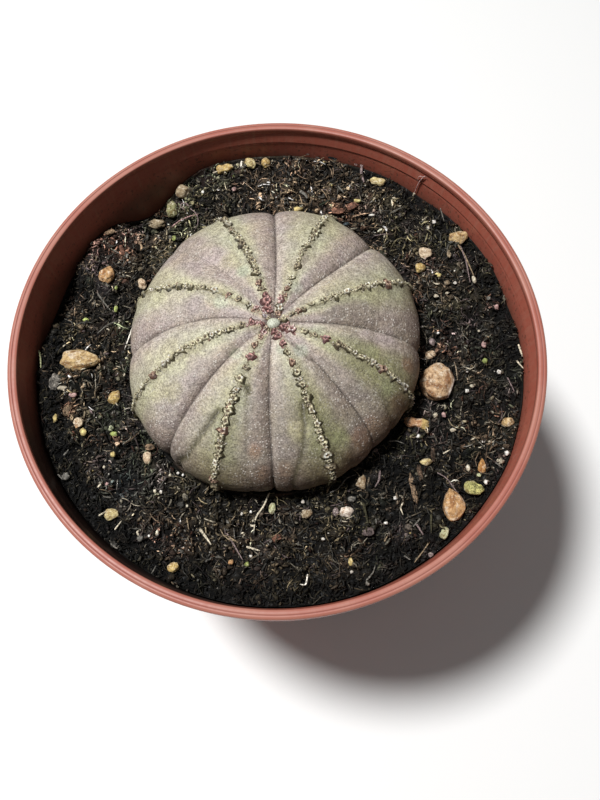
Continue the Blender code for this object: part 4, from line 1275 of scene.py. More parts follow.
soilTints = {
    # Near black, for the painted shadows of the plant and the pot's wall
    "castShadow": (0.006, 0.0055, 0.0045),
    "dark": (0.016, 0.0135, 0.0100),
    "brown": (0.055, 0.040, 0.027),
    "olive": (0.045, 0.042, 0.024),
    "green": (0.026, 0.034, 0.022),
    "purple": (0.050, 0.038, 0.042),
    "rust": (0.105, 0.050, 0.034),
    "blue": (0.026, 0.036, 0.042),
    "grey": (0.150, 0.145, 0.130),
    "tan": (0.24, 0.185, 0.12),
    "cream": (0.56, 0.51, 0.40),
    "white": (0.80, 0.77, 0.70),
    "lime": (0.30, 0.36, 0.11),
    "paleLime": (0.44, 0.47, 0.28),
    "yellow": (0.56, 0.45, 0.19),
    "orange": (0.46, 0.26, 0.12),
    "pink": (0.42, 0.27, 0.26),
    "mauve": (0.20, 0.155, 0.155),
    "barkBrown": (0.150, 0.105, 0.068),
    "barkDark": (0.055, 0.037, 0.025),
    "barkRust": (0.140, 0.070, 0.048),
    "mauveBark": (0.100, 0.078, 0.076),
    "leafGrey": (0.120, 0.112, 0.100),
    "leafOlive": (0.340, 0.330, 0.130),
}
# Patches of the soil that the photograph shows: pixel of the middle, reach in pixels, tint and strength; the
# near-black ones are painted shadows of the plant and of the pot's wall
seenGround = (
    ((122, 485), 22, "blue", 0.8), ((102, 462), 12, "purple", 0.8), ((185, 545), 18, "rust", 0.45),
    ((215, 520), 30, "olive", 0.6), ((400, 535), 18, "purple", 0.7), ((105, 415), 26, "green", 0.6),
    ((90, 235), 24, "barkRust", 0.45), ((120, 245), 20, "barkRust", 0.50), ((150, 235), 18, "brown", 0.8),
    ((68, 408), 10, "barkRust", 0.7), ((440, 330), 40, "castShadow", 0.6), ((420, 490), 40, "castShadow", 0.6),
    ((110, 590), 60, "castShadow", 0.5), ((98, 532), 30, "castShadow", 0.85), ((50, 440), 22, "castShadow", 0.85),
    ((150, 585), 26, "castShadow", 0.6), ((320, 186), 70, "brown", 0.8), ((285, 545), 60, "brown", 0.5),
    ((180, 520), 40, "brown", 0.4), ((510, 392), 9, "mauveBark", 0.7), ((340, 215), 20, "barkRust", 0.5),
    ((230, 540), 26, "brown", 0.6), ((340, 560), 26, "brown", 0.5), ((270, 175), 40, "brown", 0.6),
)


# Layers of colour in the peat: tint, strength, size and seed of the noise, and the values where it sets in
peatLayers = (
    ("brown", 1.0, 0.011, 71, -0.15, 0.5),
    ("olive", 0.8, 0.009, 74, -0.1, 0.4),
    ("green", 0.6, 0.008, 77, 0.15, 0.5),
    ("purple", 0.6, 0.006, 80, 0.2, 0.5),
    ("rust", 0.5, 0.005, 86, 0.3, 0.55),
)
# Painted shade next to the wall: strength, the reaches where the shade starts and is full, azimuth of the middle in
# degrees, and the cosines of the angle from it between which the shade fades
wallShades = (
    (1.0, 0.0425, 0.0468, 245, 0.0, 0.6),
    (1.0, 0.0435, 0.0465, 30, 0.6, 0.9),
    (1.2, 0.0425, 0.0455, 195, 0.5, 0.9),
)


# Colour of the peat at places: layers of tints by noise, then the patches, some of them painted shadows, then painted
# light and shade, lighter towards the back and the left and darker at the right, and painted shade next to the near
# side of the wall
def peatColours(x, y, seed=0):
    spot = np.stack(np.broadcast_arrays(x, y, 0.0), axis=-1)
    colour = soilTints["dark"]
    for tint, strength, size, layerSeed, low, high in peatLayers:
        share = strength * smoothStep(layeredNoise(spot, size, layerSeed + seed), low, high)
        colour = blendTints(colour, soilTints[tint], share)
    level = np.stack((x, y), axis=-1)
    middles = pixelsOnLevel([patch[0] for patch in seenGround], soilShape["level"])[:, :2]
    for (_, size, tint, strength), middle in zip(seenGround, middles):
        away = np.linalg.norm(level - middle, axis=-1) / (size * pixelOnSoil)
        colour = blendTints(colour, soilTints[tint], strength * np.exp(-(away**2)))
    # Painted light and shade: lighter towards the back and the left, where the light comes from, darker at the right
    lift = 1.0 + 0.65 * y / 0.05 - 0.25 * x / 0.05
    reach = np.hypot(x, y)
    turn = np.arctan2(y, x)
    paintedWallShade = 0.0
    # Painted shade along the wall, where the wall shades the soil
    for strength, start, full, azimuth, low, high in wallShades:
        facing = smoothStep(np.cos(turn - math.radians(azimuth)), low, high)
        paintedWallShade = np.maximum(paintedWallShade, strength * smoothStep(reach, start, full) * facing)
    return 1.25 * colour * (np.clip(lift, 0.5, 1.9) * (1 - 0.76 * paintedWallShade))[..., None]


# Peat: the tint, grainy and dull, with glossier clumps
def soilFinish():
    finish = Finish("peat", 0.8, {"Specular IOR Level": 0.22})
    place = finish.objectPlace()
    tint = finish.attribute("tint", 0)
    grain = finish.noise(place, 3000.0, 3.0, 0.65)
    clump = finish.noise(place, 1100.0, 2.0, 0.5)
    finish.set("Base Color", finish.toned(tint, grain, 0.32, 0.68, (0.32, 0.31, 0.30), (1.75, 1.70, 1.62)))
    finish.set("Roughness", 0.92 - 0.55 * clump.between(0.45, 0.70))
    finish.bump(grain, 0.00016, 1.0)
    return finish.material


# The soil: rings from the tip of the root's hole up to the plant, out to the wall, down it and across the floor
def makeSoil(finish):
    s = soilShape
    p = plantShape
    turn = np.linspace(0, 2 * math.pi, s["columns"], endpoint=False)
    gap = s["plantGap"]
    # The hole of the root, from its tip up to the soil line
    along = np.linspace(outlineLength[-1], soilLine, 14)[:, None]
    radius = np.interp(along, outlineLength, outlineRadius)
    reach = swollen(radius, turn) + gap
    z = np.interp(along, outlineLength, outlineHeight) * np.ones_like(reach)
    hole = np.stack((*roundPlant(reach, turn), z), axis=-1)
    # The top, ruled between the plant and the wall
    inner = hole[-1, :, :2]
    wall = np.full(len(turn), wallRadius(s["level"]))
    outward = np.stack((np.cos(turn), np.sin(turn)), axis=-1)
    for _ in range(3):
        outer = outward * (wall - s["wallGap"])[:, None]
        wall = wallRadius(soilHeight(outer[:, 0], outer[:, 1]))
    share = np.linspace(0.0, 1.0, s["rows"])[1:, None, None]
    flat = inner * (1 - share) + outer * share
    edge = smoothStep(share[..., 0], 0.0, 0.04)
    rim = smoothStep(share[..., 0], 1.0, 0.985)
    smooth = soilHeight(flat[..., 0], flat[..., 1])
    height = smooth + (soilSurface(flat[..., 0], flat[..., 1]) - smooth) * rim
    top = np.concatenate((flat, (soilLineZ * (1 - edge) + height * edge)[..., None]), axis=-1)
    # Down the wall and across the floor
    floorZ = potShape["footHeight"] + potShape["floor"] + s["floorGap"]
    cornerZ = floorZ + potShape["floorCorner"]
    down = np.array([0.02, 0.1, 0.3, 0.6, 0.85, 1.0])[:, None]
    wallZ = top[-1, :, 2] * (1 - down) + cornerZ * down
    wallReach = wallRadius(wallZ) - s["wallGap"]
    side = np.stack((wallReach * np.cos(turn), wallReach * np.sin(turn), wallZ), axis=-1)
    flatReach = potShape["footRadius"] - potShape["wall"] - potShape["floorCorner"] - s["wallGap"]
    base = np.concatenate((outward * flatReach, np.full((len(turn), 1), floorZ)), axis=-1)[None]
    rings = np.concatenate((hole, top, side, base))
    tip = [(p["x"], p["y"], outlineHeight[-1] - p["rootTipRadius"] - gap)]
    points = np.concatenate((rings.reshape(-1, 3), tip, [(0, 0, floorZ)]))
    faces = closedFaces(*rings.shape[:2])
    tints = peatColours(points[:, 0], points[:, 1])
    lump = points[:, 2] - soilHeight(points[:, 0], points[:, 1])
    # Painted shade: the soil is far darker in the hollows between its clods
    tints = tints * (0.07 + 1.15 * smoothStep(lump, -0.0006, 0.0012))[:, None]
    addPiece("soilBed", points, faces, finish, ("potting_soil",), tints)


# The stones: x, y, length, width, height, turn in degrees, narrowing of one end, waist, and tint
stones = (
    (0.0318, -0.0080, 0.0084, 0.0072, 0.0054, 80, 0.04, 0.0, "tan"),
    (-0.0403, 0.0021, 0.0076, 0.0046, 0.0034, -5, 0.25, 0.0, "yellowTan"),
    (0.0316, -0.0326, 0.0064, 0.0044, 0.0032, 95, 0.50, 0.0, "orangeTan"),
    (0.0264, -0.0158, 0.0055, 0.0029, 0.0024, -14, 0.15, 0.35, "peanut"),
    (-0.0355, 0.0216, 0.0040, 0.0033, 0.0026, 80, 0.10, 0.0, "orangeTan"),
    (0.0400, 0.0253, 0.0039, 0.0034, 0.0026, 20, 0.10, 0.0, "yellowTan"),
    (0.0327, 0.0223, 0.0030, 0.0028, 0.0022, 0, 0.0, 0.0, "pale"),
    (0.0312, 0.0190, 0.0024, 0.0022, 0.0018, 40, 0.0, 0.0, "yellow"),
    (0.0242, 0.0409, 0.0038, 0.0022, 0.0018, -15, 0.15, 0.2, "paleYellow"),
    (-0.0098, 0.0464, 0.0040, 0.0023, 0.0020, 14, 0.25, 0.2, "yellow"),
    (-0.0040, 0.0476, 0.0029, 0.0023, 0.0020, 150, 0.0, 0.0, "paleYellow"),
    (-0.0004, 0.0479, 0.0025, 0.0022, 0.0019, 60, 0.0, 0.0, "yellow"),
    (-0.0194, 0.0432, 0.0038, 0.0032, 0.0026, 5, 0.0, 0.0, "greyTan"),
    (-0.0223, 0.0404, 0.0045, 0.0026, 0.0022, 78, 0.20, 0.1, "greyGreen"),
    (-0.0260, 0.0378, 0.0039, 0.0024, 0.0021, 0, 0.10, 0.0, "greyTan"),
    (-0.0280, 0.0191, 0.0026, 0.0019, 0.0017, 110, 0.35, 0.0, "pale"),
    (-0.0337, -0.0060, 0.0031, 0.0026, 0.0020, 60, 0.0, 0.0, "yellow"),
    (-0.0404, -0.0114, 0.0024, 0.0021, 0.0016, 30, 0.0, 0.0, "pale"),
    (-0.0266, -0.0197, 0.0025, 0.0019, 0.0015, 80, 0.0, 0.0, "pale"),
    (-0.0334, -0.0303, 0.0027, 0.0022, 0.0018, 0, 0.20, 0.0, "paleYellow"),
    (-0.0217, -0.0411, 0.0024, 0.0022, 0.0018, 0, 0.0, 0.0, "yellow"),
    (0.0146, -0.0272, 0.0032, 0.0021, 0.0019, 70, 0.10, 0.1, "greyTan"),
    (0.0113, -0.0328, 0.0027, 0.0024, 0.0020, 0, 0.0, 0.0, "white"),
    (0.0037, -0.0324, 0.0023, 0.0020, 0.0016, 10, 0.0, 0.0, "greyTan"),
    (0.0274, -0.0240, 0.0025, 0.0016, 0.0014, 5, 0.20, 0.0, "paleYellow"),
    (0.0381, -0.0254, 0.0032, 0.0017, 0.0015, 82, 0.20, 0.0, "orange"),
    (0.0358, -0.0297, 0.0036, 0.0029, 0.0013, -25, 0.10, 0.0, "leafOlive"),
    (0.0293, -0.0379, 0.0025, 0.0017, 0.0014, 65, 0.20, 0.0, "paleGreen"),
    (0.0444, -0.0169, 0.0028, 0.0021, 0.0017, 0, 0.10, 0.0, "yellowTan"),
    (0.0308, -0.0014, 0.0028, 0.0018, 0.0015, 10, 0.0, 0.0, "pale"),
    (-0.0029, -0.0308, 0.0023, 0.0015, 0.0012, 80, 0.0, 0.0, "paleGreen"),
)
stoneTints = {
    "tan": (0.50, 0.345, 0.205),
    "yellowTan": (0.50, 0.365, 0.180),
    "orangeTan": (0.50, 0.305, 0.140),
    "orange": (0.52, 0.285, 0.095),
    "peanut": (0.50, 0.290, 0.150),
    "yellow": (0.54, 0.405, 0.155),
    "paleYellow": (0.58, 0.50, 0.25),
    "pale": (0.60, 0.49, 0.35),
    "white": (0.74, 0.67, 0.60),
    "greyTan": (0.30, 0.24, 0.15),
    "greyGreen": (0.27, 0.27, 0.13),
    "leafOlive": (0.35, 0.34, 0.13),
    "paleGreen": (0.45, 0.48, 0.29),
}
stoneLook = {
    "warmth": (0.95, 0.92, 0.89),
    "sink": 0.35,          # share of the height that lies in the soil
    "large": 0.004,        # length from which a stone gets the finer grid
    "fineGrid": (44, 72),
    "coarseGrid": (24, 40),
    "facets": 5,
    "rim": (0.66, 0.62, 0.58),
    "peanutSpots": (0.10, 0.030, 0.020),
    "peanutEnd": (0.52, 0.40, 0.15),
    "dusty": (0.80, 0.74, 0.62),
    "underside": (0.10, 0.07, 0.045),
}


# A lumpy stone: directions on a grid of latitude and longitude, each pushed in or out by noise and pits
def stoneRings(index, rows, columns):
    x, y, length, width, height, turn, taper, waist, _ = stones[index]
    polar = np.linspace(0, math.pi, rows + 1)[1:-1, None]
    around = np.linspace(0, 2 * math.pi, columns, endpoint=False)[None, :]
    way = np.stack(
        (np.sin(polar) * np.cos(around), np.sin(polar) * np.sin(around), np.cos(polar) * np.ones_like(around)), axis=-1
    )
    poles = np.array([(0.0, 0.0, 1.0), (0.0, 0.0, -1.0)])
    way = np.concatenate((way.reshape(-1, 3), poles))
    seed = 300 + 7 * index
    spot = way + seed
    rough, pore, pitDepth = (1.0, 0.13, 0.045) if length > 0.005 else (1.6, 0.20, 0.075)
    push = 1.0 + rough * (0.13 * softNoise(spot, 0.75, seed) + 0.065 * softNoise(spot, 0.36, seed + 1))
    push = push - 0.07 * np.abs(softNoise(spot, 0.5, seed + 2)) + 0.03 * softNoise(spot, 0.16, seed + 3)
    pits = smoothStep(cellNoise(spot, pore, seed + 4) + 0.2 * softNoise(spot, 0.6, seed + 5), 0.40, 0.16)
    push = push - pitDepth * pits
    # Nearly flat facets where the stone broke: the push is cut off beyond a few planes
    for facet in range(stoneLook["facets"]):
        draw = np.random.default_rng(seed + facet)
        face = draw.standard_normal(3)
        face /= np.linalg.norm(face)
        beyond = (way @ face) * push - draw.uniform(0.66, 0.86)
        push = np.where(beyond > 0, push - 0.85 * beyond, push)
    local = way * push[:, None]
    pinch = 1 - waist * np.exp(-((local[:, 0] / 0.3) ** 2))
    along = local[:, 0] * length / 2
    across = local[:, 1] * width / 2 * (1 - taper * local[:, 0]) * pinch
    up = local[:, 2] * height / 2 * pinch
    z = float(soilHeight(x, y)) + height * (0.5 - stoneLook["sink"]) + up
    along, across = turnedBy(math.radians(turn), along, across)
    return np.stack((x + along, y + across, z), axis=1), pits, local


# The stones, in one piece that stands for all the CAD's: each lighter, darker and dusty in patches, with pits and the
# underside darkened by painted shade, the largest with a grey rim and the one with a waist with dark spots
def makeStones(finish):
    k = stoneLook
    shapes = []
    for index, stone in enumerate(stones):
        rows, columns = k["fineGrid"] if stone[2] > k["large"] else k["coarseGrid"]
        points, pits, local = stoneRings(index, rows, columns)
        tint = np.array(stoneTints[stone[-1]]) * k["warmth"]
        spot = local + 3.7 * index
        colour = blendTints(tint, tint * (1.10, 1.13, 1.18), smoothStep(layeredNoise(spot, 0.5, 91), -0.4, 0.5))
        dark = smoothStep(layeredNoise(spot, 0.35, 94), 0.05, 0.45)
        colour = blendTints(colour, tint * (0.56, 0.42, 0.32), dark)
        colour = blendTints(colour, k["dusty"], 0.55 * smoothStep(layeredNoise(spot, 0.30, 97), 0.15, 0.5))
        # Painted shade: the pits are darkened
        colour = blendTints(colour, tint * (0.26, 0.18, 0.13), 0.85 * pits)
        if index == 0:
            rim = smoothStep(-local[:, 1] - 0.35 * local[:, 0] + 0.1 * layeredNoise(spot, 0.3, 98), 0.62, 0.78)
            colour = blendTints(colour, k["rim"], 0.8 * rim)
        if stone[-1] == "peanut":
            spots = smoothStep(layeredNoise(spot, 0.22, 99), 0.12, 0.35) * smoothStep(local[:, 0], 0.35, 0.1)
            colour = blendTints(colour, k["peanutSpots"], 0.9 * spots)
            colour = blendTints(colour, k["peanutEnd"], 0.8 * smoothStep(local[:, 0], 0.25, 0.5))
        # Painted shade: the lower half of each stone is darker
        colour = blendTints(colour, k["underside"], 0.75 * smoothStep(local[:, 2], 0.05, -0.45))
        shapes.append((points, closedFaces(rows - 1, columns, True), colour))
    points, faces, tints = joinShapes(shapes)
    nodes = [f"gravel_{index + 1:02d}" for index in range(len(stones))]
    addPiece("pumiceStones", points, faces, finish, nodes, tints)


# Pumice: the tint, grainy, with pale sparkling dots
def stoneFinish():
    finish = Finish("pumiceGrain", 0.85)
    place = finish.objectPlace()
    tint = finish.attribute("tint", 0)
    grain = finish.noise(place, 1700.0, 3.0, 0.7)
    sparkle = finish.cells(place, 2100.0).between(0.32, 0.12)
    colour = finish.toned(tint, grain, 0.32, 0.68, (0.66, 0.60, 0.54), (1.22, 1.22, 1.2))
    colour = finish.mix(sparkle * 0.4, colour, (0.80, 0.72, 0.58))
    finish.set("Base Color", colour)
    finish.bump(grain, 0.00016, 0.9)
    return finish.material


# Twelve corners and twenty faces of an icosahedron
def crumbBall():
    golden = (1 + 5**0.5) / 2
    corners = []
    for first, second in itertools.product((-1, 1), (-golden, golden)):
        corners += [(0, first, second), (first, second, 0), (second, 0, first)]
    corners = np.array(corners) / math.hypot(1, golden)
    gaps = np.linalg.norm(corners[:, None] - corners[None], axis=-1)
    edge = np.min(gaps[gaps > 0.1]) * 1.01
    faces = []
    for a, b, c in itertools.combinations(range(12), 3):
        if max(gaps[a, b], gaps[b, c], gaps[a, c]) < edge:
            outward = np.dot(np.cross(corners[b] - corners[a], corners[c] - corners[a]), corners[a]) > 0
            faces.append((a, b, c) if outward else (a, c, b))
    return corners, np.array(faces)


# Each face of a ball split in four, with the new corners pushed out to the ball
def finerBall(corners, faces):
    middles = {}
    corners = [tuple(corner) for corner in corners]
    finer = []
    for face in faces:
        halves = []
        for a, b in ((face[0], face[1]), (face[1], face[2]), (face[2], face[0])):
            key = (min(a, b), max(a, b))
            if key not in middles:
                middle = np.array(corners[a]) + np.array(corners[b])
                middles[key] = len(corners)
                corners.append(tuple(middle / np.linalg.norm(middle)))
            halves.append(middles[key])
        finer += [(face[0], halves[0], halves[2]), (face[1], halves[1], halves[0])]
        finer += [(face[2], halves[2], halves[1]), tuple(halves)]
    return np.array(corners), np.array(finer)


# Random turns: rotation matrices from random unit quaternions
def randomTurns(count, draw):
    q = draw.standard_normal((count, 4))
    w, x, y, z = (q / np.linalg.norm(q, axis=1, keepdims=True)).T
    rows = [
        [1 - 2 * (y * y + z * z), 2 * (x * y - z * w), 2 * (x * z + y * w)],
        [2 * (x * y + z * w), 1 - 2 * (x * x + z * z), 2 * (y * z - x * w)],
        [2 * (x * z - y * w), 2 * (y * z + x * w), 1 - 2 * (x * x + y * y)],
    ]
    return np.array(rows).transpose(2, 0, 1)


# Crumbs: one ball per place, its corners pushed in and out at random, stretched, turned and moved there
def crumbPoints(ball, places, sizes, draw, stretch=(0.35, 1.0), push=0.38):
    count = len(places)
    pushes = 1 + draw.uniform(-push, push, (count, len(ball)))
    scales = draw.uniform(*stretch, (count, 3))
    scales /= scales.max(axis=1, keepdims=True)
    local = ball[None] * pushes[..., None] * scales[:, None, :] * sizes[:, None, None] / 2
    turned = np.einsum("nij,nkj->nki", randomTurns(count, draw), local)
    return places[:, None, :] + turned


# The faces of one shape for many of them: its corner numbers + number of the shape * corners in each
def repeatFaces(faces, count, perPiece):
    return (faces[None] + np.arange(count)[:, None, None] * perPiece).reshape(-1, faces.shape[1])


# Spots on the soil between the plant and the wall, clear of the stones
def litterSpots(count, draw, clear):
    reach = np.sqrt(draw.uniform(0.024**2, 0.0505**2, count))
    azimuth = draw.uniform(0, 2 * math.pi, count)
    x, y = reach * np.cos(azimuth), reach * np.sin(azimuth)
    keep = freeOfPlant(x, y, clear)
    keep &= reach < wallRadius(soilHeight(x, y)) - clear - 0.0003
    for stone in stones:
        along, across = turnedBy(-math.radians(stone[5]), x - stone[0], y - stone[1])
        keep &= np.hypot(along / (stone[2] / 2), across / (stone[3] / 2)) > 0.95
    return x[keep], y[keep]


# Whether places are farther from the plant's axis than its side and a clearance
def freeOfPlant(x, y, clear):
    dx, dy = x - plantShape["x"], y - plantShape["y"]
    return np.hypot(dx, dy) > plantReach(np.arctan2(dy, dx), clear)


# Colours of pieces of litter: the peat's colour there, made lighter or darker at random, some pale, all darker by
# painted shade where they lie low
def litterColours(x, y, draw, spread, paleShares):
    peatColour = peatColours(x, y, 20)
    # Painted shade: litter lying low between clods is darker
    lump = 0.30 + 1.0 * smoothStep(soilSurface(x, y) - soilHeight(x, y), -0.0007, 0.0009)
    colour = 2.4 * peatColour * (lump * np.exp(spread * draw.standard_normal(len(x))))[:, None]
    paleShadeAndTone = (lump * (0.28 + 1.15 * smoothStep(peatColour.mean(axis=1), 0.004, 0.030)))[:, None]
    chance = draw.random(len(x))
    low = 0.0
    for name, share in paleShares:
        chosen = (chance >= low) & (chance < low + share)
        colour[chosen] = np.array(soilTints[name]) * draw.uniform(0.5, 1.1, (chosen.sum(), 1)) * paleShadeAndTone[chosen]
        low += share
    return np.clip(colour, 0.003, 0.9)


crumbLook = {
    "seed": 21,
    # Count, sizes and clearance from the plant and the wall
    "fine": (5500, (0.00030, 0.00085), 0.0002),
    "coarse": (800, (0.0007, 0.0015), 0.0006),
    "spread": 0.85,
    "paleShares": (("tan", 0.03), ("grey", 0.06), ("cream", 0.012), ("rust", 0.02)),
}


# Loose crumbs: plain balls for the fine ones and finer balls for the coarse ones, sunk a little or lying on top
def makeCrumbs(finish):
    k = crumbLook
    draw = np.random.default_rng(k["seed"])
    ball = crumbBall()
    shapes = []
    for (count, limits, clear), (corners, faces) in ((k["fine"], ball), (k["coarse"], finerBall(*ball))):
        x, y = litterSpots(count, draw, clear)
        sizes = sizesBetween(limits, draw.random(len(x)))
        z = soilSurface(x, y) + sizes * draw.uniform(-0.15, 0.40, len(x))
        crumbs = crumbPoints(corners, np.stack((x, y, z), axis=1), sizes, draw)
        colour = litterColours(x, y, draw, k["spread"], k["paleShares"])
        tints = np.repeat(colour, len(corners), axis=0)
        shapes.append((crumbs, [repeatFaces(faces, len(x), len(corners))], tints))
    points, faces, tints = joinShapes(shapes)
    addPiece("peatCrumbs", clearOfPotAndPlant(points), faces, finish, ("potting_soil",), tints)


# Tubes along many paths at once: at each point of a path a ring square to it, wider than it is high
def tubePoints(paths, widths, sides, flat=0.7):
    ahead = np.gradient(paths, axis=1)
    ahead /= np.linalg.norm(ahead, axis=-1, keepdims=True) + 1e-12
    aside = np.cross(ahead, (0.0, 0.0, 1.0))
    aside /= np.linalg.norm(aside, axis=-1, keepdims=True) + 1e-12
    up = np.cross(aside, ahead)
    turn = 2 * math.pi * (np.arange(sides) + 0.25) / sides
    ring = np.cos(turn)[:, None] * aside[:, :, None, :] + flat * np.sin(turn)[:, None] * up[:, :, None, :]
    return paths[:, :, None, :] + ring * (widths / 2)[:, :, None, None]


# Faces of many tubes: quads along them and a fan or a triangle at each end
def tubeFaces(count, rings, sides):
    quads = repeatFaces(gridFaces(rings, sides), count, rings * sides)
    low = np.arange(sides)
    ends = []
    for index in range(1, sides - 1):
        ends.append((0, index + 1, index))
        last = (rings - 1) * sides
        ends.append((last, last + index, last + index + 1))
    return [quads, repeatFaces(np.array(ends), count, rings * sides)]


fibreLook = {
    "fibres": {"count": 7600, "seed": 31, "length": (0.0008, 0.0040), "width": (0.00012, 0.00034), "flat": 0.7},
    "shreds": {"count": 7600, "seed": 32, "length": (0.0006, 0.0019), "width": (0.00025, 0.00065), "flat": 0.35},
    "sides": 3,
    "rings": 4,
    "taper": (0.55, 1.0, 0.9, 0.45),
    "spread": 1.20,
    "paleShares": (("tan", 0.045), ("grey", 0.17), ("cream", 0.055), ("mauve", 0.03), ("rust", 0.012)),
}


# Short bent fibres: each is a parabola on the ground, lifted off the soil and tilted a little
def makeFibres(finish, name, kind):
    k = {**fibreLook, **fibreLook[kind]}
    draw = np.random.default_rng(k["seed"])
    x, y = litterSpots(k["count"], draw, 0.0004)
    count = len(x)
    length = sizesBetween(k["length"], draw.random(count) ** 1.5)
    width = sizesBetween(k["width"], draw.random(count))
    heading = draw.uniform(0, 2 * math.pi, count)
    bend = draw.normal(0, 0.55, count)
    share = np.linspace(-0.5, 0.5, k["rings"])[None, :]
    along = share * length[:, None]
    aside = bend[:, None] * (share**2 - 0.12) * length[:, None]
    c, s = np.cos(heading)[:, None], np.sin(heading)[:, None]
    px = x[:, None] + c * along - s * aside
    py = y[:, None] + s * along + c * aside
    ground = soilSurface(px, py)
    level = ground.mean(axis=1, keepdims=True)
    tilt = draw.normal(0, 0.30, count)[:, None]
    z = 0.45 * ground + 0.55 * level + tilt * along + (0.0001 + 0.0009 * draw.random(count) ** 2)[:, None]
    z = z + 0.0004 * draw.normal(0, 1, (count, 1)) * (0.25 - share**2)
    paths = clearOfPotAndPlant(np.stack((px, py, z), axis=-1), 0.0004)
    rings = tubePoints(paths, width[:, None] * k["taper"], k["sides"], k["flat"])
    colour = litterColours(x, y, draw, k["spread"], k["paleShares"])
    shade = draw.uniform(0.8, 1.2, (count, k["rings"]))
    tints = colour[:, None, None, :] * shade[:, :, None, None] * np.ones((1, 1, k["sides"], 1))
    faces = tubeFaces(count, k["rings"], k["sides"])
    addPiece(name, rings, faces, finish, ("potting_soil",), tints)


gritLook = {
    "seed": 41,
    "count": 480,
    "size": (0.00022, 0.00060),
    "shares": (("white", 0.34), ("cream", 0.40), ("yellow", 0.07), ("tan", 0.15), ("lime", 0.02), ("orange", 0.02)),
}
# Small stones and flakes that the photograph shows: pixel of the centre, size in pixels and tint
seenGrit = (
    ((55, 418), (5, 9), "yellow"), ((83, 432), (7, 9), "yellow"), ((62, 388), (11, 5), "cream"),
    ((73, 395), (8, 6), "pink"), ((86, 320), (8, 6), "lime"), ((116, 288), (4, 5), "lime"),
    ((116, 309), (5, 8), "lime"), ((174, 238), (5, 7), "lime"), ((114, 434), (8, 6), "lime"),
    ((113, 454), (6, 6), "yellow"), ((66, 476), (8, 8), "grey"), ((140, 538), (7, 7), "grey"),
    ((157, 533), (5, 6), "cream"), ((149, 536), (3, 3), "white"), ((183, 475), (3, 3), "white"),
    ((178, 473), (3, 3), "white"), ((170, 475), (3, 4), "cream"), ((247, 564), (5, 5), "lime"),
    ((231, 562), (6, 5), "orange"), ((203, 192), (4, 4), "white"), ((234, 189), (6, 5), "pink"),
    ((272, 198), (5, 4), "tan"), ((298, 209), (12, 6), "yellow"), ((331, 185), (5, 5), "yellow"),
    ((357, 201), (9, 5), "yellow"), ((372, 215), (7, 3), "white"), ((434, 222), (5, 5), "white"),
    ((428, 228), (5, 5), "cream"), ((449, 254), (5, 11), "tan"), ((438, 275), (8, 5), "yellow"),
    ((474, 280), (5, 10), "cream"), ((455, 283), (4, 4), "white"), ((447, 283), (7, 5), "tan"),
    ((436, 296), (6, 4), "cream"), ((447, 293), (5, 3), "cream"), ((489, 298), (6, 5), "grey"),
    ((496, 307), (7, 7), "pink"), ((484, 345), (6, 8), "pink"), ((485, 361), (6, 6), "lime"),
    ((432, 342), (7, 10), "mauve"), ((422, 327), (3, 3), "white"), ((438, 333), (3, 3), "white"),
    ((479, 331), (3, 3), "cream"), ((499, 372), (5, 5), "white"), ((467, 371), (4, 5), "white"),
    ((472, 386), (5, 4), "cream"), ((467, 391), (5, 5), "white"), ((444, 415), (5, 6), "pink"),
    ((453, 430), (7, 4), "cream"), ((418, 436), (6, 5), "white"), ((427, 423), (5, 5), "yellow"),
    ((483, 441), (6, 4), "white"), ((507, 453), (5, 6), "white"), ((479, 475), (5, 4), "paleLime"),
    ((486, 482), (5, 5), "white"), ((468, 468), (5, 7), "cream"), ((386, 523), (5, 3), "white"),
    ((431, 555), (6, 5), "mauve"), ((368, 583), (5, 5), "grey"), ((351, 562), (5, 9), "yellow"),
    ((351, 572), (6, 4), "white"), ((336, 512), (7, 8), "mauve"), ((352, 499), (9, 6), "grey"),
    ((396, 498), (5, 5), "white"), ((242, 514), (3, 4), "white"), ((251, 512), (3, 3), "white"),
    ((303, 502), (4, 4), "white"), ((251, 556), (4, 3), "white"), ((323, 539), (4, 3), "white"),
    ((187, 506), (3, 3), "cream"), ((161, 492), (3, 4), "white"), ((155, 491), (4, 4), "cream"),
    ((107, 484), (4, 4), "pink"), ((104, 467), (3, 3), "cream"), ((361, 152), (5, 4), "pink"),
    ((336, 154), (5, 6), "grey"),
)


# Points on the soil under pixels of the photograph: met with the level, then with the surface's height there
def onSoil(pixels, lift):
    points = pixelsOnLevel(pixels, soilShape["level"])
    for _ in range(4):
        points = pixelsOnLevel(pixels, soilHeight(points[:, 0], points[:, 1]) + lift)
    return points


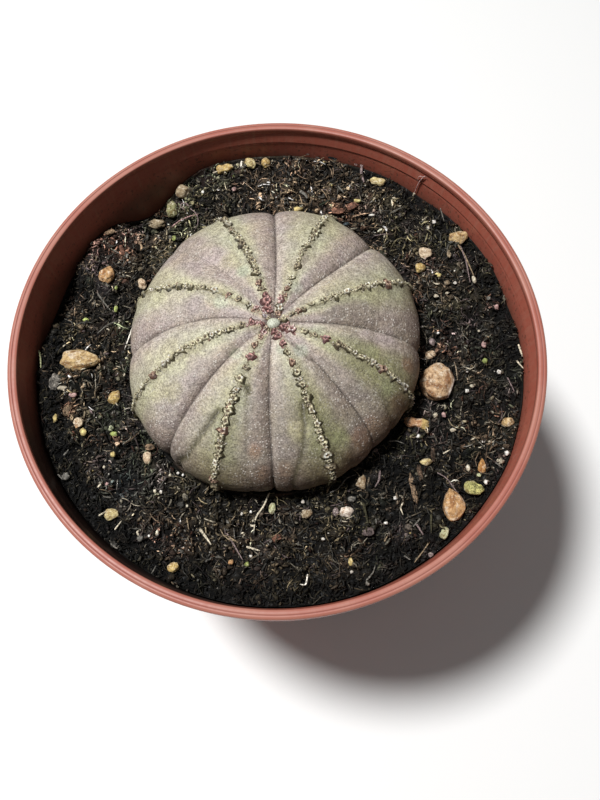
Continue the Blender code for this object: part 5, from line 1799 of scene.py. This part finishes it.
# Pale grit: small balls at random places, and finer ones at the places that the photograph shows
def makeGrit(finish):
    k = gritLook
    draw = np.random.default_rng(k["seed"])
    ball, ballFaces = crumbBall()
    finer, finerFaces = finerBall(ball, ballFaces)
    x, y = litterSpots(k["count"], draw, 0.0003)
    sizes = sizesBetween(k["size"], draw.random(len(x)) ** 1.6)
    z = soilSurface(x, y) + sizes * draw.uniform(0.2, 0.6, len(x)) + 0.0002
    specks = crumbPoints(ball, np.stack((x, y, z), axis=1), sizes, draw, (0.5, 1.0), 0.28)
    colour = litterColours(x, y, draw, 0.3, k["shares"])
    places = onSoil(np.array([grit[0] for grit in seenGrit], float), 0.0004)
    spans = np.array([grit[1] for grit in seenGrit], float) * pixelOnSoil
    pushes = 1 + draw.uniform(-0.30, 0.26, (len(places), len(finer)))
    local = finer[None] * pushes[..., None]
    local = local * np.stack((spans[:, 0], spans[:, 1] * 1.05, spans.min(axis=1) * 0.8), axis=1)[:, None, :] / 2
    seenColour = np.array([soilTints[grit[2]] for grit in seenGrit])[:, None, :]
    seenColour = seenColour * np.exp(draw.normal(-0.1, 0.38, (len(places), len(finer), 1)))
    points, faces, tints = joinShapes((
        (specks, [repeatFaces(ballFaces, len(x), len(ball))], np.repeat(colour, len(ball), axis=0)),
        (
            places[:, None, :] + local,
            [repeatFaces(finerFaces, len(places), len(finer))],
            np.clip(seenColour, 0, 0.85).reshape(-1, 3),
        ),
    ))
    addPiece("paleGrit", clearOfPotAndPlant(points), faces, finish, ("potting_soil",), tints)


# Roots, rods, hairs and twigs that stand out in the photograph: pixels along them, width in pixels, tint
seenThreads = (
    (((269.5, 492), (263.6, 508), (255.5, 516), (254.5, 526), (253.6, 534.5)), 2.2, "cream"),
    (((200, 529), (211.4, 545)), 3.0, "cream"), (((246.4, 547), (260, 551)), 2.6, "cream"),
    (((227, 533.6), (234, 545), (242.7, 560)), 2.0, "mauve"),
    (((307.7, 574.5), (305.9, 585.5), (300, 584.5)), 1.8, "white"),
    (((185, 214), (179, 212), (181, 206), (190, 205), (197, 212), (199, 222), (194, 230)), 1.8, "mauve"),
    (((172, 227), (180, 221), (190, 217), (199, 215)), 1.8, "pink"),
    (((280, 194), (287, 193), (292.7, 189.5)), 1.6, "tan"), (((241.8, 162), (241, 168)), 2.8, "white"),
    (((213, 174), (218, 172)), 2.4, "cream"), (((437, 473), (446, 478), (458, 494)), 1.4, "mauve"),
    (((98, 294), (105, 304), (111, 311)), 2.4, "grey"), (((98, 334), (108, 325), (119, 321)), 1.6, "grey"),
    (((135, 322), (130, 336), (125, 350)), 1.9, "white"),
    (((457, 245), (464, 255), (470, 268), (474, 277)), 2.2, "tan"),
    (((460, 247), (466, 262), (470, 283)), 1.8, "mauve"), (((518, 345), (522, 357)), 2.6, "cream"),
    (((516, 361), (523, 369)), 2.0, "cream"), (((507, 378), (514, 392)), 1.8, "mauve"),
    (((420, 519), (413, 527)), 1.8, "grey"), (((416, 524), (423, 535)), 2.6, "mauve"),
    (((430, 541), (424, 550), (414, 563)), 1.6, "tan"), (((431, 514), (431, 533)), 2.6, "olive"),
    (((403, 503), (400, 508), (403, 515)), 1.8, "cream"), (((404, 556), (410, 560)), 2.0, "grey"),
    (((380, 471), (379, 481), (375, 487)), 2.4, "mauve"),
    (((330, 493), (339, 489), (346, 478), (356, 475)), 1.5, "grey"),
    (((388, 442), (396, 441), (404, 444)), 1.6, "grey"), (((443, 454), (450, 450)), 1.8, "cream"),
    (((363, 503), (366, 515), (368, 525)), 3.0, "olive"), (((366, 581), (373, 573), (375, 566)), 1.9, "grey"),
    (((384, 542), (388, 535)), 1.8, "tan"), (((495, 463), (502, 468)), 1.6, "grey"),
    (((440, 209), (444, 222)), 1.6, "grey"), (((338, 187), (344, 194)), 2.2, "grey"),
    (((319, 206), (330, 201)), 2.4, "green"), (((289, 203), (308, 205)), 2.0, "tan"),
    (((300, 192), (306, 196), (307, 199)), 4.5, "grey"), (((239, 204), (243, 199)), 2.4, "grey"),
    (((60, 470), (58, 474), (63, 480)), 2.2, "grey"), (((115, 530), (122, 521)), 1.8, "cream"),
    (((99, 516), (106, 512)), 2.0, "cream"), (((152, 574), (156, 566)), 1.6, "grey"),
    (((187, 518), (189, 530)), 1.6, "tan"), (((205, 494), (211, 483)), 1.6, "tan"),
    (((139, 536), (137, 532), (141, 530)), 2.0, "cream"), (((64, 456), (69, 450)), 2.0, "grey"),
    (((118, 480), (117, 490)), 1.4, "grey"), (((309, 150), (308, 144), (312, 141)), 3.0, "mauve"),
    (((362, 163), (361, 175), (364, 183)), 4.0, "mauve"), (((330, 151), (340, 149)), 5.0, "blue"),
    (((40, 352), (41, 359), (41, 368)), 2.4, "paleLime"),
)


# A smooth line through a few points: straight spans, resampled evenly and softened at the bends
def smoothPath(points, count):
    points = np.asarray(points, float)
    length = np.concatenate(([0.0], np.cumsum(np.linalg.norm(np.diff(points, axis=0), axis=1))))
    even = np.linspace(0, length[-1], count)
    path = np.stack([np.interp(even, length, points[:, axis]) for axis in range(points.shape[1])], axis=1)
    for _ in range(2):
        path[1:-1] = (path[:-2] + 2 * path[1:-1] + path[2:]) / 4
    return path


# Strands that lean on the wall above the soil
seenWallThreads = (
    (((433, 171), (426, 175), (420, 180), (416.5, 187), (414.5, 193), (413, 197)), 1.7, "pink"),
    (((424, 177), (419, 176), (417, 181)), 1.2, "pink"),
    (((414.5, 193), (412.5, 198)), 3.2, "cream"),
)


# Points on the pot's inner wall under pixels of the photograph: of many levels, the one where the ray is there
def onWall(pixels, gap=0.0004):
    levels = np.linspace(soilShape["level"] - 0.004, potShape["height"] - 0.0016, 160)
    rows = np.stack([pixelsOnLevel(pixels, level) for level in levels])
    miss = np.abs(np.hypot(rows[..., 0], rows[..., 1]) - (wallRadius(rows[..., 2]) - gap))
    return rows[miss.argmin(axis=0), np.arange(len(pixels))]


threadLook = {"seed": 51, "sides": 6, "rings": 12, "lift": 0.0004, "flat": 0.75}


# Loose strands: each a tapered tube along its pixels, on the soil or on the wall
def makeThreads(finish):
    k = threadLook
    draw = np.random.default_rng(k["seed"])
    sides, rings = k["sides"], k["rings"]
    taper = np.interp(np.linspace(0, 1, rings), [0, 0.08, 0.6, 1.0], [0.6, 1.0, 0.9, 0.45])
    shapes = []
    for index, (pixels, width, tint) in enumerate(seenThreads + seenWallThreads):
        if index < len(seenThreads):
            path = onSoil(smoothPath(pixels, rings), k["lift"])
            path[:, 2] = 0.4 * path[:, 2] + 0.6 * path[:, 2].mean() + 0.0003
        else:
            path = onWall(smoothPath(pixels, rings))
        widths = width * pixelOnSoil * taper * draw.uniform(0.85, 1.15, rings)
        tube = tubePoints(path[None], widths[None], sides, k["flat"])
        tints = np.array(soilTints[tint]) * draw.uniform(0.8, 1.1, (rings * sides, 1))
        shapes.append((tube, tubeFaces(1, rings, sides), tints))
    points, faces, tints = joinShapes(shapes)
    addPiece("rootThreads", clearOfPotAndPlant(points), faces, finish, ("potting_soil",), tints)


# Bark and leaf pieces that the photograph shows: pixel of the centre, length and width in pixels, turn on the
# picture from its right-hand side towards its top, and tint
seenChips = (
    ((413, 488), (31, 6), 97, "barkBrown"), ((55, 381), (20, 11), 70, "leafGrey"),
    ((337, 211), (15, 8), -10, "barkRust"), ((352, 206), (14, 7), 20, "barkRust"),
    ((110, 232), (12, 6), 10, "barkBrown"), ((122, 250), (5, 12), 20, "barkRust"),
    ((277, 538), (10, 6), 30, "barkRust"), ((346, 224), (8, 4), 5, "blue"),
    ((368, 532), (11, 8), 10, "mauveBark"), ((150, 447), (10, 7), 10, "barkBrown"),
    ((67, 410), (12, 8), 60, "barkBrown"), ((115, 545), (9, 5), -40, "leafGrey"),
    ((420, 473), (5, 17), 5, "barkDark"), ((433, 455), (4, 14), 0, "barkDark"),
    ((475, 489), (17, 12), -30, "leafOlive"),
)


chipLook = {"seed": 61, "rows": 9, "columns": 26, "lift": 0.0005, "thickness": 0.22}


# Flat torn pieces: a low dome over an oval whose edge is pushed in and out, laid on the soil
def makeChips(finish):
    k = chipLook
    draw = np.random.default_rng(k["seed"])
    rows, columns = k["rows"], k["columns"]
    polar = np.linspace(0, math.pi, rows + 1)[1:-1, None]
    around = np.linspace(0, 2 * math.pi, columns, endpoint=False)[None, :]
    shapes = []
    for index, (pixel, size, turn, tint) in enumerate(seenChips):
        centre = onSoil([pixel], k["lift"])[0]
        spot = np.stack((np.cos(around) + index, np.sin(around) + 2.0 * index, 0 * around), axis=-1)
        ragged = 1 + 0.34 * layeredNoise(spot, 0.5, 101)
        square = 1 / (np.abs(np.cos(around)) ** 3 + np.abs(np.sin(around)) ** 3) ** (1 / 3)
        out = np.sin(polar) ** 0.6 * ragged * square
        along = out * np.cos(around) * size[0] * pixelOnSoil / 2
        across = out * np.sin(around) * size[1] * pixelOnSoil / 2
        thick = min(size) * pixelOnSoil * k["thickness"]
        up = np.cos(polar) * thick * (1 + 0 * around)
        ends = np.array([(0, 0, thick), (0, 0, -thick)])
        local = np.concatenate((np.stack((along, across, up), axis=-1).reshape(-1, 3), ends))
        grooves = softNoise(local * (1.0, 6.0, 0.0) + index, 0.0012, 104)
        curl = draw.uniform(-90, 90)
        crumbly = softNoise(local * (1.0, 1.0, 0.0) + 0.1 * index, 0.0005, 105)
        relief = (0.00014 * grooves + 0.00010 * crumbly) * np.sign(local[:, 2] + 1e-9)
        local[:, 2] += curl * local[:, 1] ** 2 + relief
        local[:, 2] += local[:, 0] * draw.uniform(-0.2, 0.2) + local[:, 1] * draw.uniform(-0.3, 0.3)
        placed = np.stack((*turnedBy(math.radians(turn), local[:, 0], local[:, 1]), local[:, 2]), axis=1)
        tints = np.array(soilTints[tint]) * np.exp(0.7 * grooves + 0.8 * crumbly)[:, None]
        shapes.append((placed + centre, closedFaces(rows - 1, columns, True), tints))
    points, faces, tints = joinShapes(shapes)
    addPiece("barkFlakes", clearOfPotAndPlant(points), faces, finish, ("potting_soil",), tints)


# Floor and light
stageLook = {
    "floorSize": 3.0,
    "floorZ": -0.0001,
    "floorColour": (0.86, 0.86, 0.85),
    "worldStrength": 0.13,
    "keyAzimuth": 160.0,
    "keyElevation": 70.0,
    "keyDistance": 0.9,
    "keySize": 0.15,
    "keyPower": 11.2,
    "target": (0.0, 0.0, 0.085),
}


# A square of pale paper just under the foot
def makeFloor():
    half = stageLook["floorSize"] / 2
    mesh = bpy.data.meshes.new("studioFloor")
    corners = [(x * half, y * half, stageLook["floorZ"]) for x, y in ((-1, -1), (1, -1), (1, 1), (-1, 1))]
    mesh.from_pydata(corners, [], [(0, 1, 2, 3)])
    finish = Finish("floorPaper", 0.9)
    cloud = finish.noise(finish.objectPlace(), 3.0, 2.0)
    finish.set("Base Color", finish.mix(cloud * 0.2, stageLook["floorColour"], (0.9, 0.9, 0.9)))
    mesh.materials.append(finish.material)
    floor = bpy.data.objects.new("studioFloor", mesh)
    bpy.context.scene.collection.objects.link(floor)


# Matrix of an object from its three directions and its place
def axesMatrix(right, up, back, place):
    return Matrix([(right[i], up[i], back[i], place[i]) for i in range(3)] + [(0, 0, 0, 1)])


# Matrix of an object at a place that looks at a target, with its right-hand side level
def aimAt(place, target):
    back = np.array(place, float) - np.array(target, float)
    back /= np.linalg.norm(back)
    right = np.cross((0.0, 0.0, 1.0), back)
    right /= np.linalg.norm(right)
    return axesMatrix(right, np.cross(back, right), back, place)


# One soft key light from the back left, high up, and a dim white world
def makeLights():
    look = stageLook
    azimuth, elevation = math.radians(look["keyAzimuth"]), math.radians(look["keyElevation"])
    level = math.cos(elevation)
    way = np.array([level * math.cos(azimuth), level * math.sin(azimuth), math.sin(elevation)])
    data = bpy.data.lights.new("softKey", "AREA")
    data.shape = "DISK"
    data.size = look["keySize"]
    data.energy = look["keyPower"]
    key = bpy.data.objects.new("softKey", data)
    key.matrix_world = aimAt(np.array(look["target"]) + way * look["keyDistance"], look["target"])
    bpy.context.scene.collection.objects.link(key)
    world = bpy.data.worlds.new("studioLight")
    world.use_nodes = True
    background = world.node_tree.nodes["Background"]
    background.inputs["Color"].default_value = (1.0, 1.0, 1.0, 1.0)
    background.inputs["Strength"].default_value = look["worldStrength"]
    bpy.context.scene.world = world


# The photograph's camera
def makeCamera():
    data = bpy.data.cameras.new("photoCamera")
    data.lens = photoCamera["lens"]
    data.sensor_width = photoCamera["film"]
    data.clip_start = 0.01
    data.dof.use_dof = False
    camera = bpy.data.objects.new("photoCamera", data)
    ahead, right, up = cameraAxes()
    camera.matrix_world = axesMatrix(right, up, -ahead, photoCamera["place"])
    bpy.context.scene.collection.objects.link(camera)
    bpy.context.scene.camera = camera


makeCamera()
makeLights()
makeFloor()
bpy.context.scene.view_settings.view_transform = "Standard"
print("stage is set")
makePot()
print("pot is made")
scars = scarFinish()
makePlant(skinFinish())
makeBeads(scars)
makeBud(scars)
print("plant is made")
peat = soilFinish()
makeSoil(peat)
makeCrumbs(peat)
makeFibres(peat, "peatFibres", "fibres")
makeFibres(peat, "peatShreds", "shreds")
makeThreads(peat)
makeChips(peat)
print("soil is made")
grain = stoneFinish()
makeStones(grain)
makeGrit(grain)
print("stones are made")
